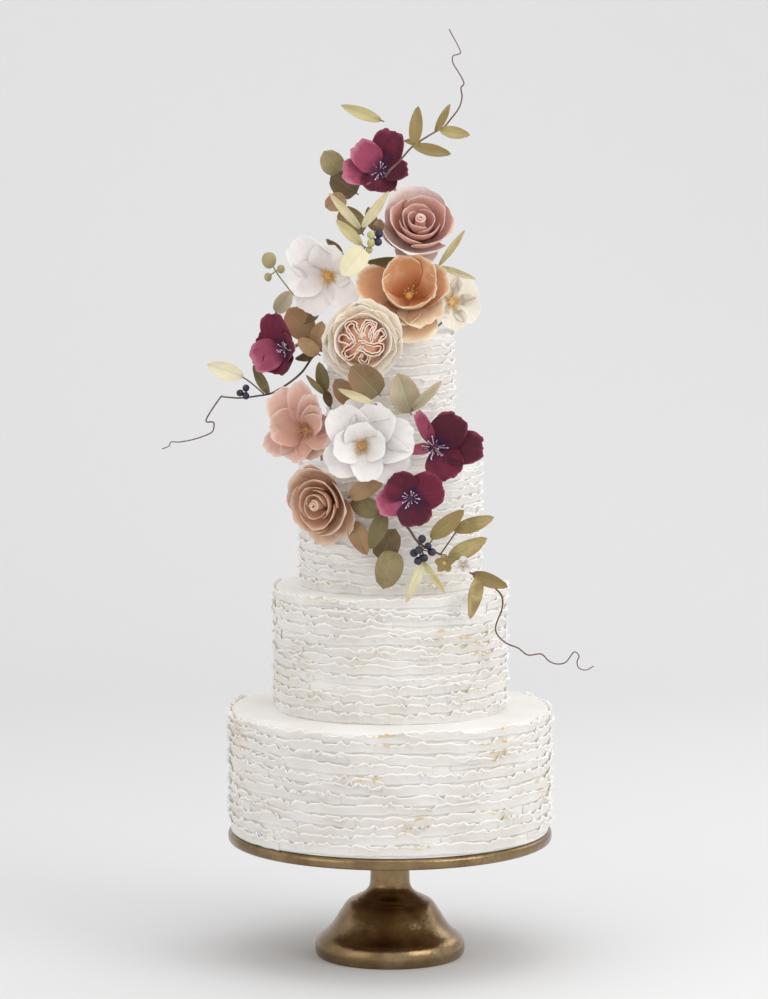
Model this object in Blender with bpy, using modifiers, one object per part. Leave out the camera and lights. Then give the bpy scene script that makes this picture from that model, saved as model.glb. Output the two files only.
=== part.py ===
"""Tiered wedding cake: four frilled tiers on a turned brass stand, with a cascade of sugar flowers."""
import math

import bmesh
import bpy
import numpy as np
from mathutils import Vector
from mathutils.bvhtree import BVHTree

MM = 0.001
OBJECT = "tiered_wedding_cake"

# Sizes are given in millimetres, and MM turns them into metres
REST_GAP = 0.3

# Stand: radii and heights
FOOT_RADIUS = 75.5
FOOT_RING_RADIUS = 72.5
BELL_RADIUS = 57.0
COLLAR_RADIUS = 34.0
NECK_RADIUS = 20.0
HUB_RADIUS = 46.0
PLATE_RADIUS = 163.0
PLATE_UNDER = 118.0
PLATE_TOP = 129.7
STAND_STEPS = (36, 22)

# Tiers, bottom to top: name, outer radius, height, frill rows, points round, frill depth
TIERS = (
    ("tier_bottom", 162.0, 124.2, 9, 40, 5.0),
    ("tier_third", 117.0, 123.7, 8, 30, 4.2),
    ("tier_second", 90.5, 122.2, 8, 24, 3.4),
    ("tier_top", 63.5, 130.0, 7, 20, 3.0),
)
FRILL_LIP = 0.78
LIP_WAVE = 1.1
TOP_EDGE = 3.0

# Sugar work
PETAL_THICK = 1.2 * MM
LEAF_THICK = 0.9 * MM
STEM_RADIUS = 1.3 * MM
# Share of a petal's length after which its rim curls back
CURL_FROM = 0.7

# Front elevation: seen from far off and a little above
EYE_FAR = 4500.0
EYE_HIGH = 1010.0
EYE_DOWN = math.radians(6.93)
EYE_ASIDE = -6.0
EYE_SCALE = 4535.0
MIDDLE_ACROSS = 384.0
MIDDLE_DOWN = 499.5


def spot(across, down, front):
    """Real place of a point read off the front elevation, standing so many mm in front of the axis."""
    far = EYE_FAR - front
    sin_d, cos_d = math.sin(EYE_DOWN), math.cos(EYE_DOWN)
    k = (MIDDLE_DOWN - down) / EYE_SCALE
    rise = far * (k * cos_d - sin_d) / (cos_d + k * sin_d)
    depth = far * cos_d - rise * sin_d
    x = (across - MIDDLE_ACROSS) / EYE_SCALE * depth + EYE_ASIDE
    return Vector((x * MM, -front * MM, (EYE_HIGH + rise) * MM))


def clear_scene():
    for old in list(bpy.data.objects):
        bpy.data.objects.remove(old, do_unlink=True)


def new_collection(name, hidden=False):
    made = bpy.data.collections.new(name)
    bpy.context.scene.collection.children.link(made)
    made.hide_render = hidden
    return made


def material(name, colour, roughness, metallic=0.0):
    made = bpy.data.materials.new(name)
    made.use_nodes = True
    shader = made.node_tree.nodes["Principled BSDF"]
    shader.inputs["Base Color"].default_value = (*colour, 1.0)
    shader.inputs["Roughness"].default_value = roughness
    shader.inputs["Metallic"].default_value = metallic
    made.diffuse_color = (*colour, 1.0)
    return made


def mesh_from(name, verts, faces):
    mesh = bpy.data.meshes.new(name)
    mesh.from_pydata([tuple(v) for v in verts], [], faces)
    mesh.update()
    return mesh


def close_up(mesh, merge=1e-6):
    """Merge doubles, turn the faces outward and split them into triangles."""
    work = bmesh.new()
    work.from_mesh(mesh)
    bmesh.ops.remove_doubles(work, verts=work.verts, dist=merge)
    bmesh.ops.recalc_face_normals(work, faces=work.faces)
    bmesh.ops.triangulate(work, faces=work.faces)
    work.to_mesh(mesh)
    work.free()
    mesh.update()
    return mesh


def stand_in(mesh, coll, mat=None):
    made = bpy.data.objects.new(mesh.name, mesh)
    if mat is not None:
        mesh.materials.clear()
        mesh.materials.append(mat)
    coll.objects.link(made)
    return made


def flaws(mesh):
    """Count the open or shared edges and the places where the skin runs through itself."""
    work = bmesh.new()
    work.from_mesh(mesh)
    work.faces.ensure_lookup_table()
    found = sum(1 for edge in work.edges if len(edge.link_faces) != 2)
    tree = BVHTree.FromBMesh(work)
    corners = [frozenset(v.index for v in face.verts) for face in work.faces]
    for i, j in tree.overlap(tree):
        if i < j and not corners[i] & corners[j]:
            found += 1
    work.free()
    return found


def largest_shell(mesh, merge=1.5e-6):
    """Keep the outer body alone: loose scraps and sealed hollows go."""
    work = bmesh.new()
    work.from_mesh(mesh)
    bmesh.ops.remove_doubles(work, verts=work.verts, dist=merge)
    bmesh.ops.dissolve_degenerate(work, edges=work.edges, dist=merge)
    bmesh.ops.triangulate(work, faces=work.faces)
    left = set(work.faces)
    shells = []
    while left:
        seed = left.pop()
        shell = [seed]
        for face in shell:
            for edge in face.edges:
                if len(edge.link_faces) != 2:
                    continue
                for other in edge.link_faces:
                    if other in left:
                        left.discard(other)
                        shell.append(other)
        shells.append(shell)
    if len(shells) > 1:
        def reach(shell):
            co = np.array([v.co[:] for face in shell for v in face.verts])
            return float(np.linalg.norm(co.max(0) - co.min(0)))
        shells.sort(key=reach, reverse=True)
        loose = [face for shell in shells[1:] for face in shell]
        bmesh.ops.delete(work, geom=loose, context="FACES")
        stray = [vert for vert in work.verts if not vert.link_faces]
        bmesh.ops.delete(work, geom=stray, context="VERTS")
    bmesh.ops.recalc_face_normals(work, faces=work.faces)
    work.to_mesh(mesh)
    work.free()
    mesh.update()
    return mesh


def evaluated(obj):
    """The object's mesh with its modifiers or bevel carried out; the object itself goes."""
    bpy.context.scene.collection.objects.link(obj)
    bpy.context.view_layer.update()
    ready = obj.evaluated_get(bpy.context.evaluated_depsgraph_get())
    mesh = bpy.data.meshes.new_from_object(ready)
    bpy.data.objects.remove(obj, do_unlink=True)
    return mesh


def thinned(mesh, keep):
    """Spend the triangles where the shape bends, down to about the number asked for."""
    obj = bpy.data.objects.new(mesh.name, mesh)
    fewer = obj.modifiers.new("fewer", "DECIMATE")
    fewer.decimate_type = "COLLAPSE"
    fewer.ratio = min(1.0, keep / max(1, len(mesh.polygons)))
    fewer.use_collapse_triangulate = True
    return evaluated(obj)


def fuse(name, meshes, mat, coll, cutters, keep):
    """Join the pieces of one node into a single body with one union."""
    core = stand_in(meshes[0], coll)
    extra = bpy.data.collections.new(name + "_pieces")
    cutters.children.link(extra)
    for mesh in meshes[1:]:
        extra.objects.link(bpy.data.objects.new(mesh.name, mesh))
    joint = core.modifiers.new("fuse", "BOOLEAN")
    joint.operation = "UNION"
    joint.operand_type = "COLLECTION"
    joint.collection = extra
    tries = []
    for solver in ("MANIFOLD", "EXACT"):
        joint.solver = solver
        joint.use_self = solver == "EXACT"
        bpy.context.view_layer.update()
        ready = core.evaluated_get(bpy.context.evaluated_depsgraph_get())
        whole = largest_shell(bpy.data.meshes.new_from_object(ready), 2e-7)
        for share in (1.0, 0.97, 1.03, 0.94, 1.06, 0.91):
            slim = largest_shell(thinned(whole.copy(), keep * share))
            tries.append((flaws(slim), len(tries), slim))
            if tries[-1][0] == 0:
                break
        if tries[-1][0] == 0:
            break
    core.modifiers.clear()
    for obj in list(extra.objects):
        bpy.data.objects.remove(obj, do_unlink=True)
    bpy.data.collections.remove(extra)
    coll.objects.unlink(core)
    bpy.data.objects.remove(core, do_unlink=True)
    mesh = min(tries)[2]
    mesh.name = name
    return stand_in(mesh, coll, mat)


# Turned work
def turned(name, profile, steps, coll, mat):
    """Turn a profile, given down its outer side from the middle of the top to the middle of the foot."""
    line = bpy.data.meshes.new(name + "_profile")
    links = [(i, i + 1) for i in range(len(profile) - 1)]
    line.from_pydata([(r * MM, 0.0, z * MM) for r, z in profile], links, [])
    obj = bpy.data.objects.new(name + "_profile", line)
    lathe = obj.modifiers.new("lathe", "SCREW")
    lathe.axis = "Z"
    lathe.angle = math.tau
    lathe.steps = steps
    lathe.render_steps = steps
    lathe.use_merge_vertices = True
    lathe.merge_threshold = 0.1 * MM
    mesh = close_up(evaluated(obj))
    mesh.name = name
    mesh.shade_smooth()
    return stand_in(mesh, coll, mat)


def build_stand(coll, mat):
    rim, under, top = PLATE_RADIUS, PLATE_UNDER, PLATE_TOP
    plate = [(0, top), (rim - 5, top), (rim - 1.2, top - 1.1), (rim, top - 3.7), (rim, under + 3.6),
             (rim - 1.4, under + 1), (rim - 5, under), (0, under)]
    head = under - REST_GAP
    foot = [(0, head), (HUB_RADIUS, head), (HUB_RADIUS, head - 4.2), (30, head - 8.7), (21, head - 16.7),
            (NECK_RADIUS, head - 25.7), (NECK_RADIUS, 74), (21.5, 70), (27, 63.5), (COLLAR_RADIUS, 59.5),
            (41, 56.5), (46.5, 50), (51, 44), (BELL_RADIUS, 34), (66, 23.5), (FOOT_RING_RADIUS, 18.5),
            (FOOT_RADIUS, 11), (FOOT_RADIUS, 5), (FOOT_RADIUS - 2.5, 0), (0, 0)]
    for name, profile, steps in zip(("stand_plate", "stand_foot"), (plate, foot), STAND_STEPS):
        turned(name, profile, steps, coll, mat)


def tier(name, radius, low, tall, rows, around, depth, coll, mat):
    """One tier: each frill row leans out from its foot to a wavy lip, under a flat iced top."""
    high = low + tall
    rng = np.random.default_rng(len(name) * 7 + rows)
    turn = np.arange(around) * math.tau / around
    rings = [(np.full(around, radius - depth), np.full(around, low))]
    step = (tall - TOP_EDGE) / rows
    for row in range(rows):
        wave = sum(rng.uniform(0.25, 0.5) * np.sin(turn * rng.integers(5, 14) + rng.uniform(0, 6.28))
                   for _ in range(3))
        tuck = sum(rng.uniform(0.15, 0.3) * np.sin(turn * rng.integers(5, 12) + rng.uniform(0, 6.28))
                   for _ in range(2))
        lip_out = radius - 0.3 * depth + np.clip(wave, -1, 1) * 0.3 * depth
        lip_up = low + (row + FRILL_LIP) * step + wave * LIP_WAVE
        rings.append((lip_out, lip_up))
        if row < rows - 1:
            rings.append((radius - depth + tuck, low + (row + 1.0) * step + tuck * 1.5))
    rings.append((np.full(around, radius - depth - 1.5), np.full(around, high)))
    verts = [(0.0, 0.0, low * MM)]
    for out, up in rings:
        verts += [(r * math.cos(a) * MM, r * math.sin(a) * MM, z * MM) for a, r, z in zip(turn, out, up)]
    verts.append((0.0, 0.0, high * MM))
    faces = []
    last = len(verts) - 1
    for i in range(around):
        j = (i + 1) % around
        faces.append((0, 1 + j, 1 + i))
        for ring in range(len(rings) - 1):
            base = 1 + ring * around
            faces.append((base + i, base + j, base + around + j, base + around + i))
        top = 1 + (len(rings) - 1) * around
        faces.append((top + i, top + j, last))
    return stand_in(close_up(mesh_from(name, verts, faces)), coll, mat)


# Petals and leaves
def petal_point(u, v, p):
    """Point of a petal: u runs across it, v from base to rim, in the flower's own frame in mm."""
    drop = p["drop"] * u * u
    notch = p["notch"] * math.exp(-(u / 0.3) ** 2)
    reach = max(0.0, v * (1.0 - drop - notch))
    x = p["start"]
    z = p["lift"]
    steps = 12
    slope = p["open"][0]
    for i in range(steps):
        t = (i + 0.5) / steps * reach
        slope = p["open"][0] + (p["open"][1] - p["open"][0]) * t
        slope += p["curl"] * max(0.0, (t - CURL_FROM) / (1 - CURL_FROM)) ** 1.5
        ds = reach / steps * p["length"]
        x += math.sin(math.radians(slope)) * ds
        z += math.cos(math.radians(slope)) * ds
    lean = math.radians(slope)
    peak = 0.6
    grow = math.sin(min(v / peak, 1.0) * math.pi / 2)
    half = p["width"] / 2 * (p["waist"] + (1 - p["waist"]) * grow)
    half *= 1.0 - p["taper"] * max(0.0, (v - peak) / (1 - peak)) ** 2
    bow = u * half / p["cup"]
    side = p["cup"] * math.sin(bow)
    lift = p["cup"] * (1 - math.cos(bow))
    lift += p["ruffle"] * v * v * math.sin(p["waves"] * u + p["phase"]) * abs(u) ** 0.5
    x += -math.cos(lean) * lift
    z += math.sin(lean) * lift
    turn = math.radians(p["round"])
    return (x * math.cos(turn) - side * math.sin(turn), x * math.sin(turn) + side * math.cos(turn), z)


def petal(turn, length, width, opening=(60, 80), cup=40.0, start=1.5, lift=0.0, curl=0.0, ruffle=0.0,
          waves=5.0, phase=0.0, drop=0.3, notch=0.0, waist=0.35, taper=0.15):
    return {"round": turn, "length": length, "width": width, "open": opening, "cup": cup, "start": start,
            "lift": lift, "curl": curl, "ruffle": ruffle, "waves": waves, "phase": phase, "drop": drop,
            "notch": notch, "waist": waist, "taper": taper}


def thick_sheet(name, point, across, along, thick):
    """A grid bent by a formula, split into triangles, then given its thickness by Solidify."""
    work = bmesh.new()
    bmesh.ops.create_grid(work, x_segments=across, y_segments=along, size=1.0)
    for vert in work.verts:
        vert.co = point(vert.co.x, (vert.co.y + 1) / 2)
    bmesh.ops.triangulate(work, faces=work.faces)
    mesh = bpy.data.meshes.new(name)
    work.to_mesh(mesh)
    work.free()
    sheet = bpy.data.objects.new(name, mesh)
    shell = sheet.modifiers.new("thick", "SOLIDIFY")
    shell.thickness = thick
    shell.offset = 0.0
    return close_up(evaluated(sheet))


def frame_of(yaw, pitch):
    """Across, up and outward directions of a flower turned to its right and tipped up, in degrees."""
    a, b = math.radians(yaw), math.radians(pitch)
    out = Vector((math.sin(a) * math.cos(b), -math.cos(a) * math.cos(b), math.sin(b)))
    up = (Vector((0, 0, 1)) - out * out.z).normalized()
    return up.cross(out), up, out


def ball(name, middle, size, segments=8, rings=5):
    work = bmesh.new()
    bmesh.ops.create_uvsphere(work, u_segments=segments, v_segments=rings, radius=1.0)
    for vert in work.verts:
        vert.co = Vector(middle) + Vector((vert.co.x * size[0], vert.co.y * size[1], vert.co.z * size[2]))
    mesh = bpy.data.meshes.new(name)
    work.to_mesh(mesh)
    work.free()
    return close_up(mesh)


def tube(name, path, radii):
    """A wire through the given points: a curve with its round bevel, closed at both ends."""
    if not isinstance(radii, (list, tuple)):
        radii = [radii] * len(path)
    line = bpy.data.curves.new(name, "CURVE")
    line.dimensions = "3D"
    line.bevel_depth = 1.0
    line.bevel_resolution = 0
    line.use_fill_caps = True
    spline = line.splines.new("POLY")
    spline.points.add(len(path) - 1)
    for point, place, radius in zip(spline.points, path, radii):
        point.co = (*place, 1.0)
        point.radius = radius
    mesh = evaluated(bpy.data.objects.new(name, line))
    return close_up(mesh)


def flower(name, place, facing, petals, heart, stem, coll, cutters, mat, keep, across=4, along=4):
    """Petals, a rounded heart, a seat below it and a wire stem, fused."""
    middle = spot(*place)
    right, up, out = frame_of(*facing)

    def to_world(p):
        return middle + (right * p[0] + up * p[1] + out * p[2]) * MM

    seat = ball(name + "_seat", (0, 0, 0), (heart[0], heart[0], heart[1]))
    for vert in seat.vertices:
        vert.co = to_world(vert.co)
    close_up(seat)
    meshes = [seat]
    for i, p in enumerate(petals):
        meshes.append(thick_sheet(f"{name}_petal{i}", lambda u, v, q=p: to_world(petal_point(u, v, q)),
                                  p.get("across", across), p.get("along", along), PETAL_THICK))
    ends = [to_world((0, 0, 0)), to_world((0, 0, -7))] + [Vector(s) * MM for s in stem]
    meshes.append(tube(name + "_stem", ends, [3.5 * MM, 1.8 * MM] + [STEM_RADIUS] * len(stem)))
    return fuse(name, meshes, mat, coll, cutters, keep)


def leaf_mesh(name, base, tip, width, bulge=3.0, twist=0.0, blunt=0.25, across=2, along=4, thick=LEAF_THICK,
              curl=0.0):
    """A thin wavy leaf from base to tip, its face to the front, bowed by bulge and turned by twist."""
    base, tip = Vector(base), Vector(tip)
    base = base - (tip - base).normalized() * 1.5 * MM
    run = tip - base
    length = run.length
    heading = run.normalized()
    face = Vector((0, -1, 0))
    face = (face - heading * face.dot(heading)).normalized()
    side = heading.cross(face)
    t = math.radians(twist)
    face, side = face * math.cos(t) + side * math.sin(t), side * math.cos(t) - face * math.sin(t)

    def point(u, v):
        fat = math.sin(math.pi * (0.06 + 0.88 * v ** 0.85)) ** (0.5 + 0.5 * (1 - blunt))
        half = width * MM / 2 * fat
        along_v = v * (1 - 0.06 * u * u * blunt)
        bow = math.sin(math.pi * v) * bulge * MM
        fold = (abs(u) ** 1.5) * half * 0.28
        wave = 0.5 * MM * math.sin(7 * v + 2 * u)
        drop = curl * MM * v * v
        return base + heading * along_v * length + side * u * half + face * (bow + fold + wave - drop)

    return thick_sheet(name, point, across, along, thick)


def leaf(name, base, tip, width, root, coll, cutters, mat, **kw):
    """One leaf with its wire running back to where it is pinned."""
    base, tip = spot(*base), spot(*tip)
    blade = leaf_mesh(name + "_blade", base, tip, width, **kw)
    start = base + (tip - base) * 0.12
    stalk = [start, base - (tip - base).normalized() * 2 * MM] + [spot(*r) for r in root]
    wire = tube(name + "_wire", stalk, 0.75 * MM)
    return fuse(name, [blade, wire], mat, coll, cutters, 42)


def main():
    clear_scene()
    coll = new_collection(OBJECT)
    cutters = new_collection("pieces_to_fuse", hidden=True)
    brass = material("antique_brass", (0.42, 0.30, 0.13), 0.38, 1.0)
    icing = material("ivory_icing", (0.90, 0.87, 0.83), 0.6)
    wine = material("wine_sugar", (0.26, 0.02, 0.06), 0.55)
    dusty = material("dusty_pink_sugar", (0.72, 0.34, 0.28), 0.6)
    white = material("white_sugar", (0.88, 0.84, 0.83), 0.6)
    peach = material("peach_sugar", (0.80, 0.42, 0.18), 0.6)
    cream = material("cream_sugar", (0.86, 0.74, 0.57), 0.6)
    blush = material("blush_sugar", (0.76, 0.40, 0.33), 0.6)
    clay = material("clay_sugar", (0.55, 0.27, 0.14), 0.6)
    olive = material("olive_leaf", (0.30, 0.27, 0.10), 0.5)
    bronze = material("bronze_leaf", (0.33, 0.20, 0.11), 0.5)
    pale_leaf = material("pale_leaf", (0.62, 0.58, 0.36), 0.5)
    twig = material("brown_twig", (0.20, 0.12, 0.08), 0.6)
    navy = material("navy_berry", (0.03, 0.03, 0.07), 0.35)

    build_stand(coll, brass)
    low = PLATE_TOP + REST_GAP
    for name, radius, tall, rows, around, depth in TIERS:
        tier(name, radius, low, tall, rows, around, depth, coll, icing)
        low += tall + REST_GAP
    build_flowers(coll, cutters, wine, dusty, white, peach, cream, blush, clay)
    build_leaves(coll, cutters, olive, bronze, pale_leaf, twig, navy)
    bpy.data.collections.remove(cutters)


def rose_petals(size, seed, opened=0.0, outer=5):
    """Nested cups round a rolled bud; the outer ones open and roll back at the rim."""
    rng = np.random.default_rng(seed)
    made = [petal(rng.uniform(0, 360), 0.82 * size, 0.62 * size, (16, -12), cup=0.17 * size, start=1.0,
                  lift=2.0, waist=0.85, drop=0.05)]
    for ring, (count, length, width, opening, cup, curl) in enumerate((
            (2, 0.92, 0.95, (48, 0), 0.34, 20), (3, 1.02, 1.25, (74, 2), 0.56, 35),
            (outer, 1.12, 1.2, (86, 26 + opened), 0.84, 50))):
        for i in range(count):
            turn = 360 * i / count + ring * 50 + rng.uniform(-10, 10)
            made.append(petal(turn, length * size, width * size, opening, cup=cup * size,
                              start=1.5 + ring, lift=1.0 - ring * 1.4, curl=curl, waist=0.6,
                              drop=0.14, ruffle=0.8, phase=rng.uniform(0, 6)))
    return made


def build_flowers(coll, cutters, wine, dusty, white, peach, cream, blush, clay):
    flower("flower_wine_top", (378, 170, 38), (4, 12),
           [petal(78, 41, 36, (58, 74), 38, drop=0.26, ruffle=1.0),
            petal(125, 41, 30, (52, 68), 26, lift=1, ruffle=1.2, phase=1),
            petal(170, 38, 32, (60, 76), 30, lift=-1, ruffle=0.8, phase=2),
            petal(266, 27, 34, (60, 84), 30, lift=-1, notch=0.06, ruffle=0.8),
            petal(6, 31, 30, (50, 62), 24, lift=0.6, ruffle=0.8)],
           (5.0, 5.0), [(12, 12, 764), (12, 16, 690), (10, 14, 633)], coll, cutters, wine, 420)
    flower("flower_rose_pink", (418, 235, 22), (5, 38), rose_petals(35.5, 3), (7, 6),
           [(35, 6, 714), (32, 18, 633)], coll, cutters, dusty, 530, across=3, along=3)
    flower("flower_white_left", (329, 275, 46), (-14, -6),
           [petal(128, 50, 38, (55, 82), 36, ruffle=1.2), petal(80, 36, 36, (50, 76), 34, lift=1, phase=1),
            petal(20, 26, 28, (55, 76), 28), petal(318, 40, 30, (58, 80), 30, lift=-1, ruffle=1.0),
            petal(235, 42, 36, (60, 86), 34, lift=-1, ruffle=1.4), petal(185, 40, 34, (55, 80), 30, lift=1)],
           (6, 6), [(-46, -12, 668), (-40, 4, 640), (-38, 8, 633)], coll, cutters, white, 460)
    flower("flower_peach", (409, 296, 50), (0, 33),
           [petal(118, 44, 46, (80, -4), 25, curl=15, drop=0.16), petal(58, 45, 50, (80, -2), 26, drop=0.16),
            petal(268, 40, 54, (82, 2), 26, curl=20, drop=0.16), petal(185, 48, 44, (84, 34), 27, lift=-1),
            petal(350, 40, 44, (86, 20), 28, lift=-1), petal(300, 44, 50, (90, 46), 34, lift=-3, drop=0.18),
            petal(268, 51, 50, (92, 66), 42, lift=-4, drop=0.18)],
           (5, 5), [(18, 2, 655), (16, 4, 633)], coll, cutters, peach, 480)
    fold_petals = [
        petal(95, 24, 14, (20, 6), 3.4, start=9, lift=5, waist=0.9, drop=0.05),
        petal(140, 24, 14, (20, 6), 3.2, start=13, lift=4, waist=0.9, drop=0.05),
        petal(50, 24, 14, (20, 6), 3.4, start=12, lift=4, waist=0.9, drop=0.05),
        petal(200, 23, 13, (20, 6), 3.2, start=11, lift=4, waist=0.9, drop=0.05),
        petal(275, 24, 18, (16, 4), 5.0, start=9, lift=5, waist=0.9, drop=0.05),
        petal(330, 24, 13, (18, 6), 3.2, start=10, lift=4, waist=0.9, drop=0.05)]
    for p in fold_petals:
        p["across"], p["along"] = 3, 2
    flower("flower_garden_rose", (363, 341, 82), (0, 4), fold_petals + [
        petal(20 + i * 72, 36, 42, (80, 8), 27, start=3, lift=-1, curl=20, ruffle=1.0, phase=i, waist=0.5)
        for i in range(5)] + [
        petal(54 + i * 60, 41, 44, (86, 50), 38, start=4, lift=-3, ruffle=1.5, phase=i * 2, waist=0.5)
        for i in range(6)],
           (13, 7), [(-20, -68, 640), (-18, -30, 646), (-14, -10, 633)], coll, cutters, cream, 600, across=3,
           along=3)
    flower("flower_wine_left", (286, 349, 42), (-32, 4),
           [petal(97, 39, 37, (56, 62), 24, ruffle=1.0),
            petal(152, 30, 28, (62, 68), 24, lift=-1.4, phase=2),
            petal(207, 34, 36, (56, 64), 24, lift=0.6, ruffle=1.0),
            petal(262, 28, 38, (58, 66), 24, lift=-1),
            petal(20, 22, 32, (50, 52), 20, lift=-0.5, ruffle=1.0)],
           (5, 5), [(-64, -14, 634), (-54, 0, 641), (-40, 0, 633)], coll, cutters, wine, 420)
    flower("flower_blush", (306, 428, 46), (-10, 4),
           [petal(163, 38, 44, (44, 62), 24, lift=1), petal(100, 50, 34, (48, 66), 24, lift=1),
            petal(76, 50, 30, (38, 56), 22, lift=0), petal(200, 44, 32, (62, 78), 28, lift=-2),
            petal(250, 32, 34, (60, 74), 26, lift=-1), petal(305, 30, 30, (60, 80), 26, lift=-2),
            petal(45, 34, 30, (50, 60), 26, lift=-2)],
           (6, 6), [(-74, -34, 536), (-70, -10, 522), (-68, -6, 503)], coll, cutters, blush, 460)
    flower("flower_white_large", (362, 445, 108), (0, 2),
           [petal(100, 30, 32, (48, 60), 26, lift=1), petal(180, 34, 34, (56, 66), 26, lift=1),
            petal(5, 28, 30, (50, 64), 26, lift=1), petal(300, 27, 28, (52, 66), 26, lift=1),
            petal(65, 48, 40, (66, 84), 40, lift=-1), petal(128, 50, 38, (64, 82), 36, lift=-1, ruffle=1.5),
            petal(215, 40, 40, (66, 84), 34, lift=-1), petal(262, 45, 36, (62, 80), 34, lift=0),
            petal(328, 52, 44, (70, 86), 40, lift=-2, ruffle=1.2),
            petal(12, 50, 44, (70, 84), 40, lift=-2, ruffle=1.2)],
           (6, 6), [(-26, -92, 524), (-22, -66, 523)], coll, cutters, white, 520, across=3)
    flower("flower_wine_right", (434, 447, 90), (6, 0),
           [petal(104, 42, 24, (32, 52), 16, lift=1, start=3), petal(62, 36, 36, (60, 76), 32, ruffle=1.2),
            petal(4, 46, 34, (62, 80), 34, lift=-1, ruffle=1.4, phase=1),
            petal(305, 38, 36, (62, 82), 34, ruffle=1.2, phase=2), petal(190, 30, 12, (70, 84), 9, lift=-2)],
           (6, 5), [(46, -84, 518), (48, -78, 514)], coll, cutters, wine, 420)
    flower("flower_rose_clay", (327, 501, 78), (-30, -5), rose_petals(35, 5, 14), (7, 6),
           [(-66, -72, 474), (-64, -66, 474)], coll, cutters, clay, 540, across=3, along=3)
    flower("flower_wine_low", (411, 498, 112), (0, 0),
           [petal(128, 28, 32, (60, 76), 28, ruffle=1.2),
            petal(24, 33, 34, (62, 78), 30, lift=-1, ruffle=1.4),
            petal(190, 34, 26, (64, 80), 28, lift=-1, phase=1),
            petal(285, 29, 30, (62, 82), 28, ruffle=1.4)],
           (5, 5), [(21, -98, 470), (21, -92, 470)], coll, cutters, wine, 380)
    flower("flower_cream_back", (450, 306, -6), (30, 10),
           [petal(40 + i * 72, 24, 22, (60, 76), 22, phase=i) for i in range(5)],
           (4.5, 4.5), [(52, 8, 640), (44, 8, 633)], coll, cutters, cream, 260, across=3, along=3)
    for name, place, tint in (("blossom_olive", (444, 563, 118), cream), ("blossom_white", (463, 565, 117),
                                                                        white)):
        flower(name, place, (4, 0), [petal(90 + i * 72, 9.5, 9, (62, 80), 9, start=0.6, waist=0.5)
                                     for i in range(5)],
               (2.2, 2.2), [(spot(*place).x / MM, 6 - place[2], spot(*place).z / MM - 1)], coll, cutters, tint,
               130, across=2, along=2)


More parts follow.
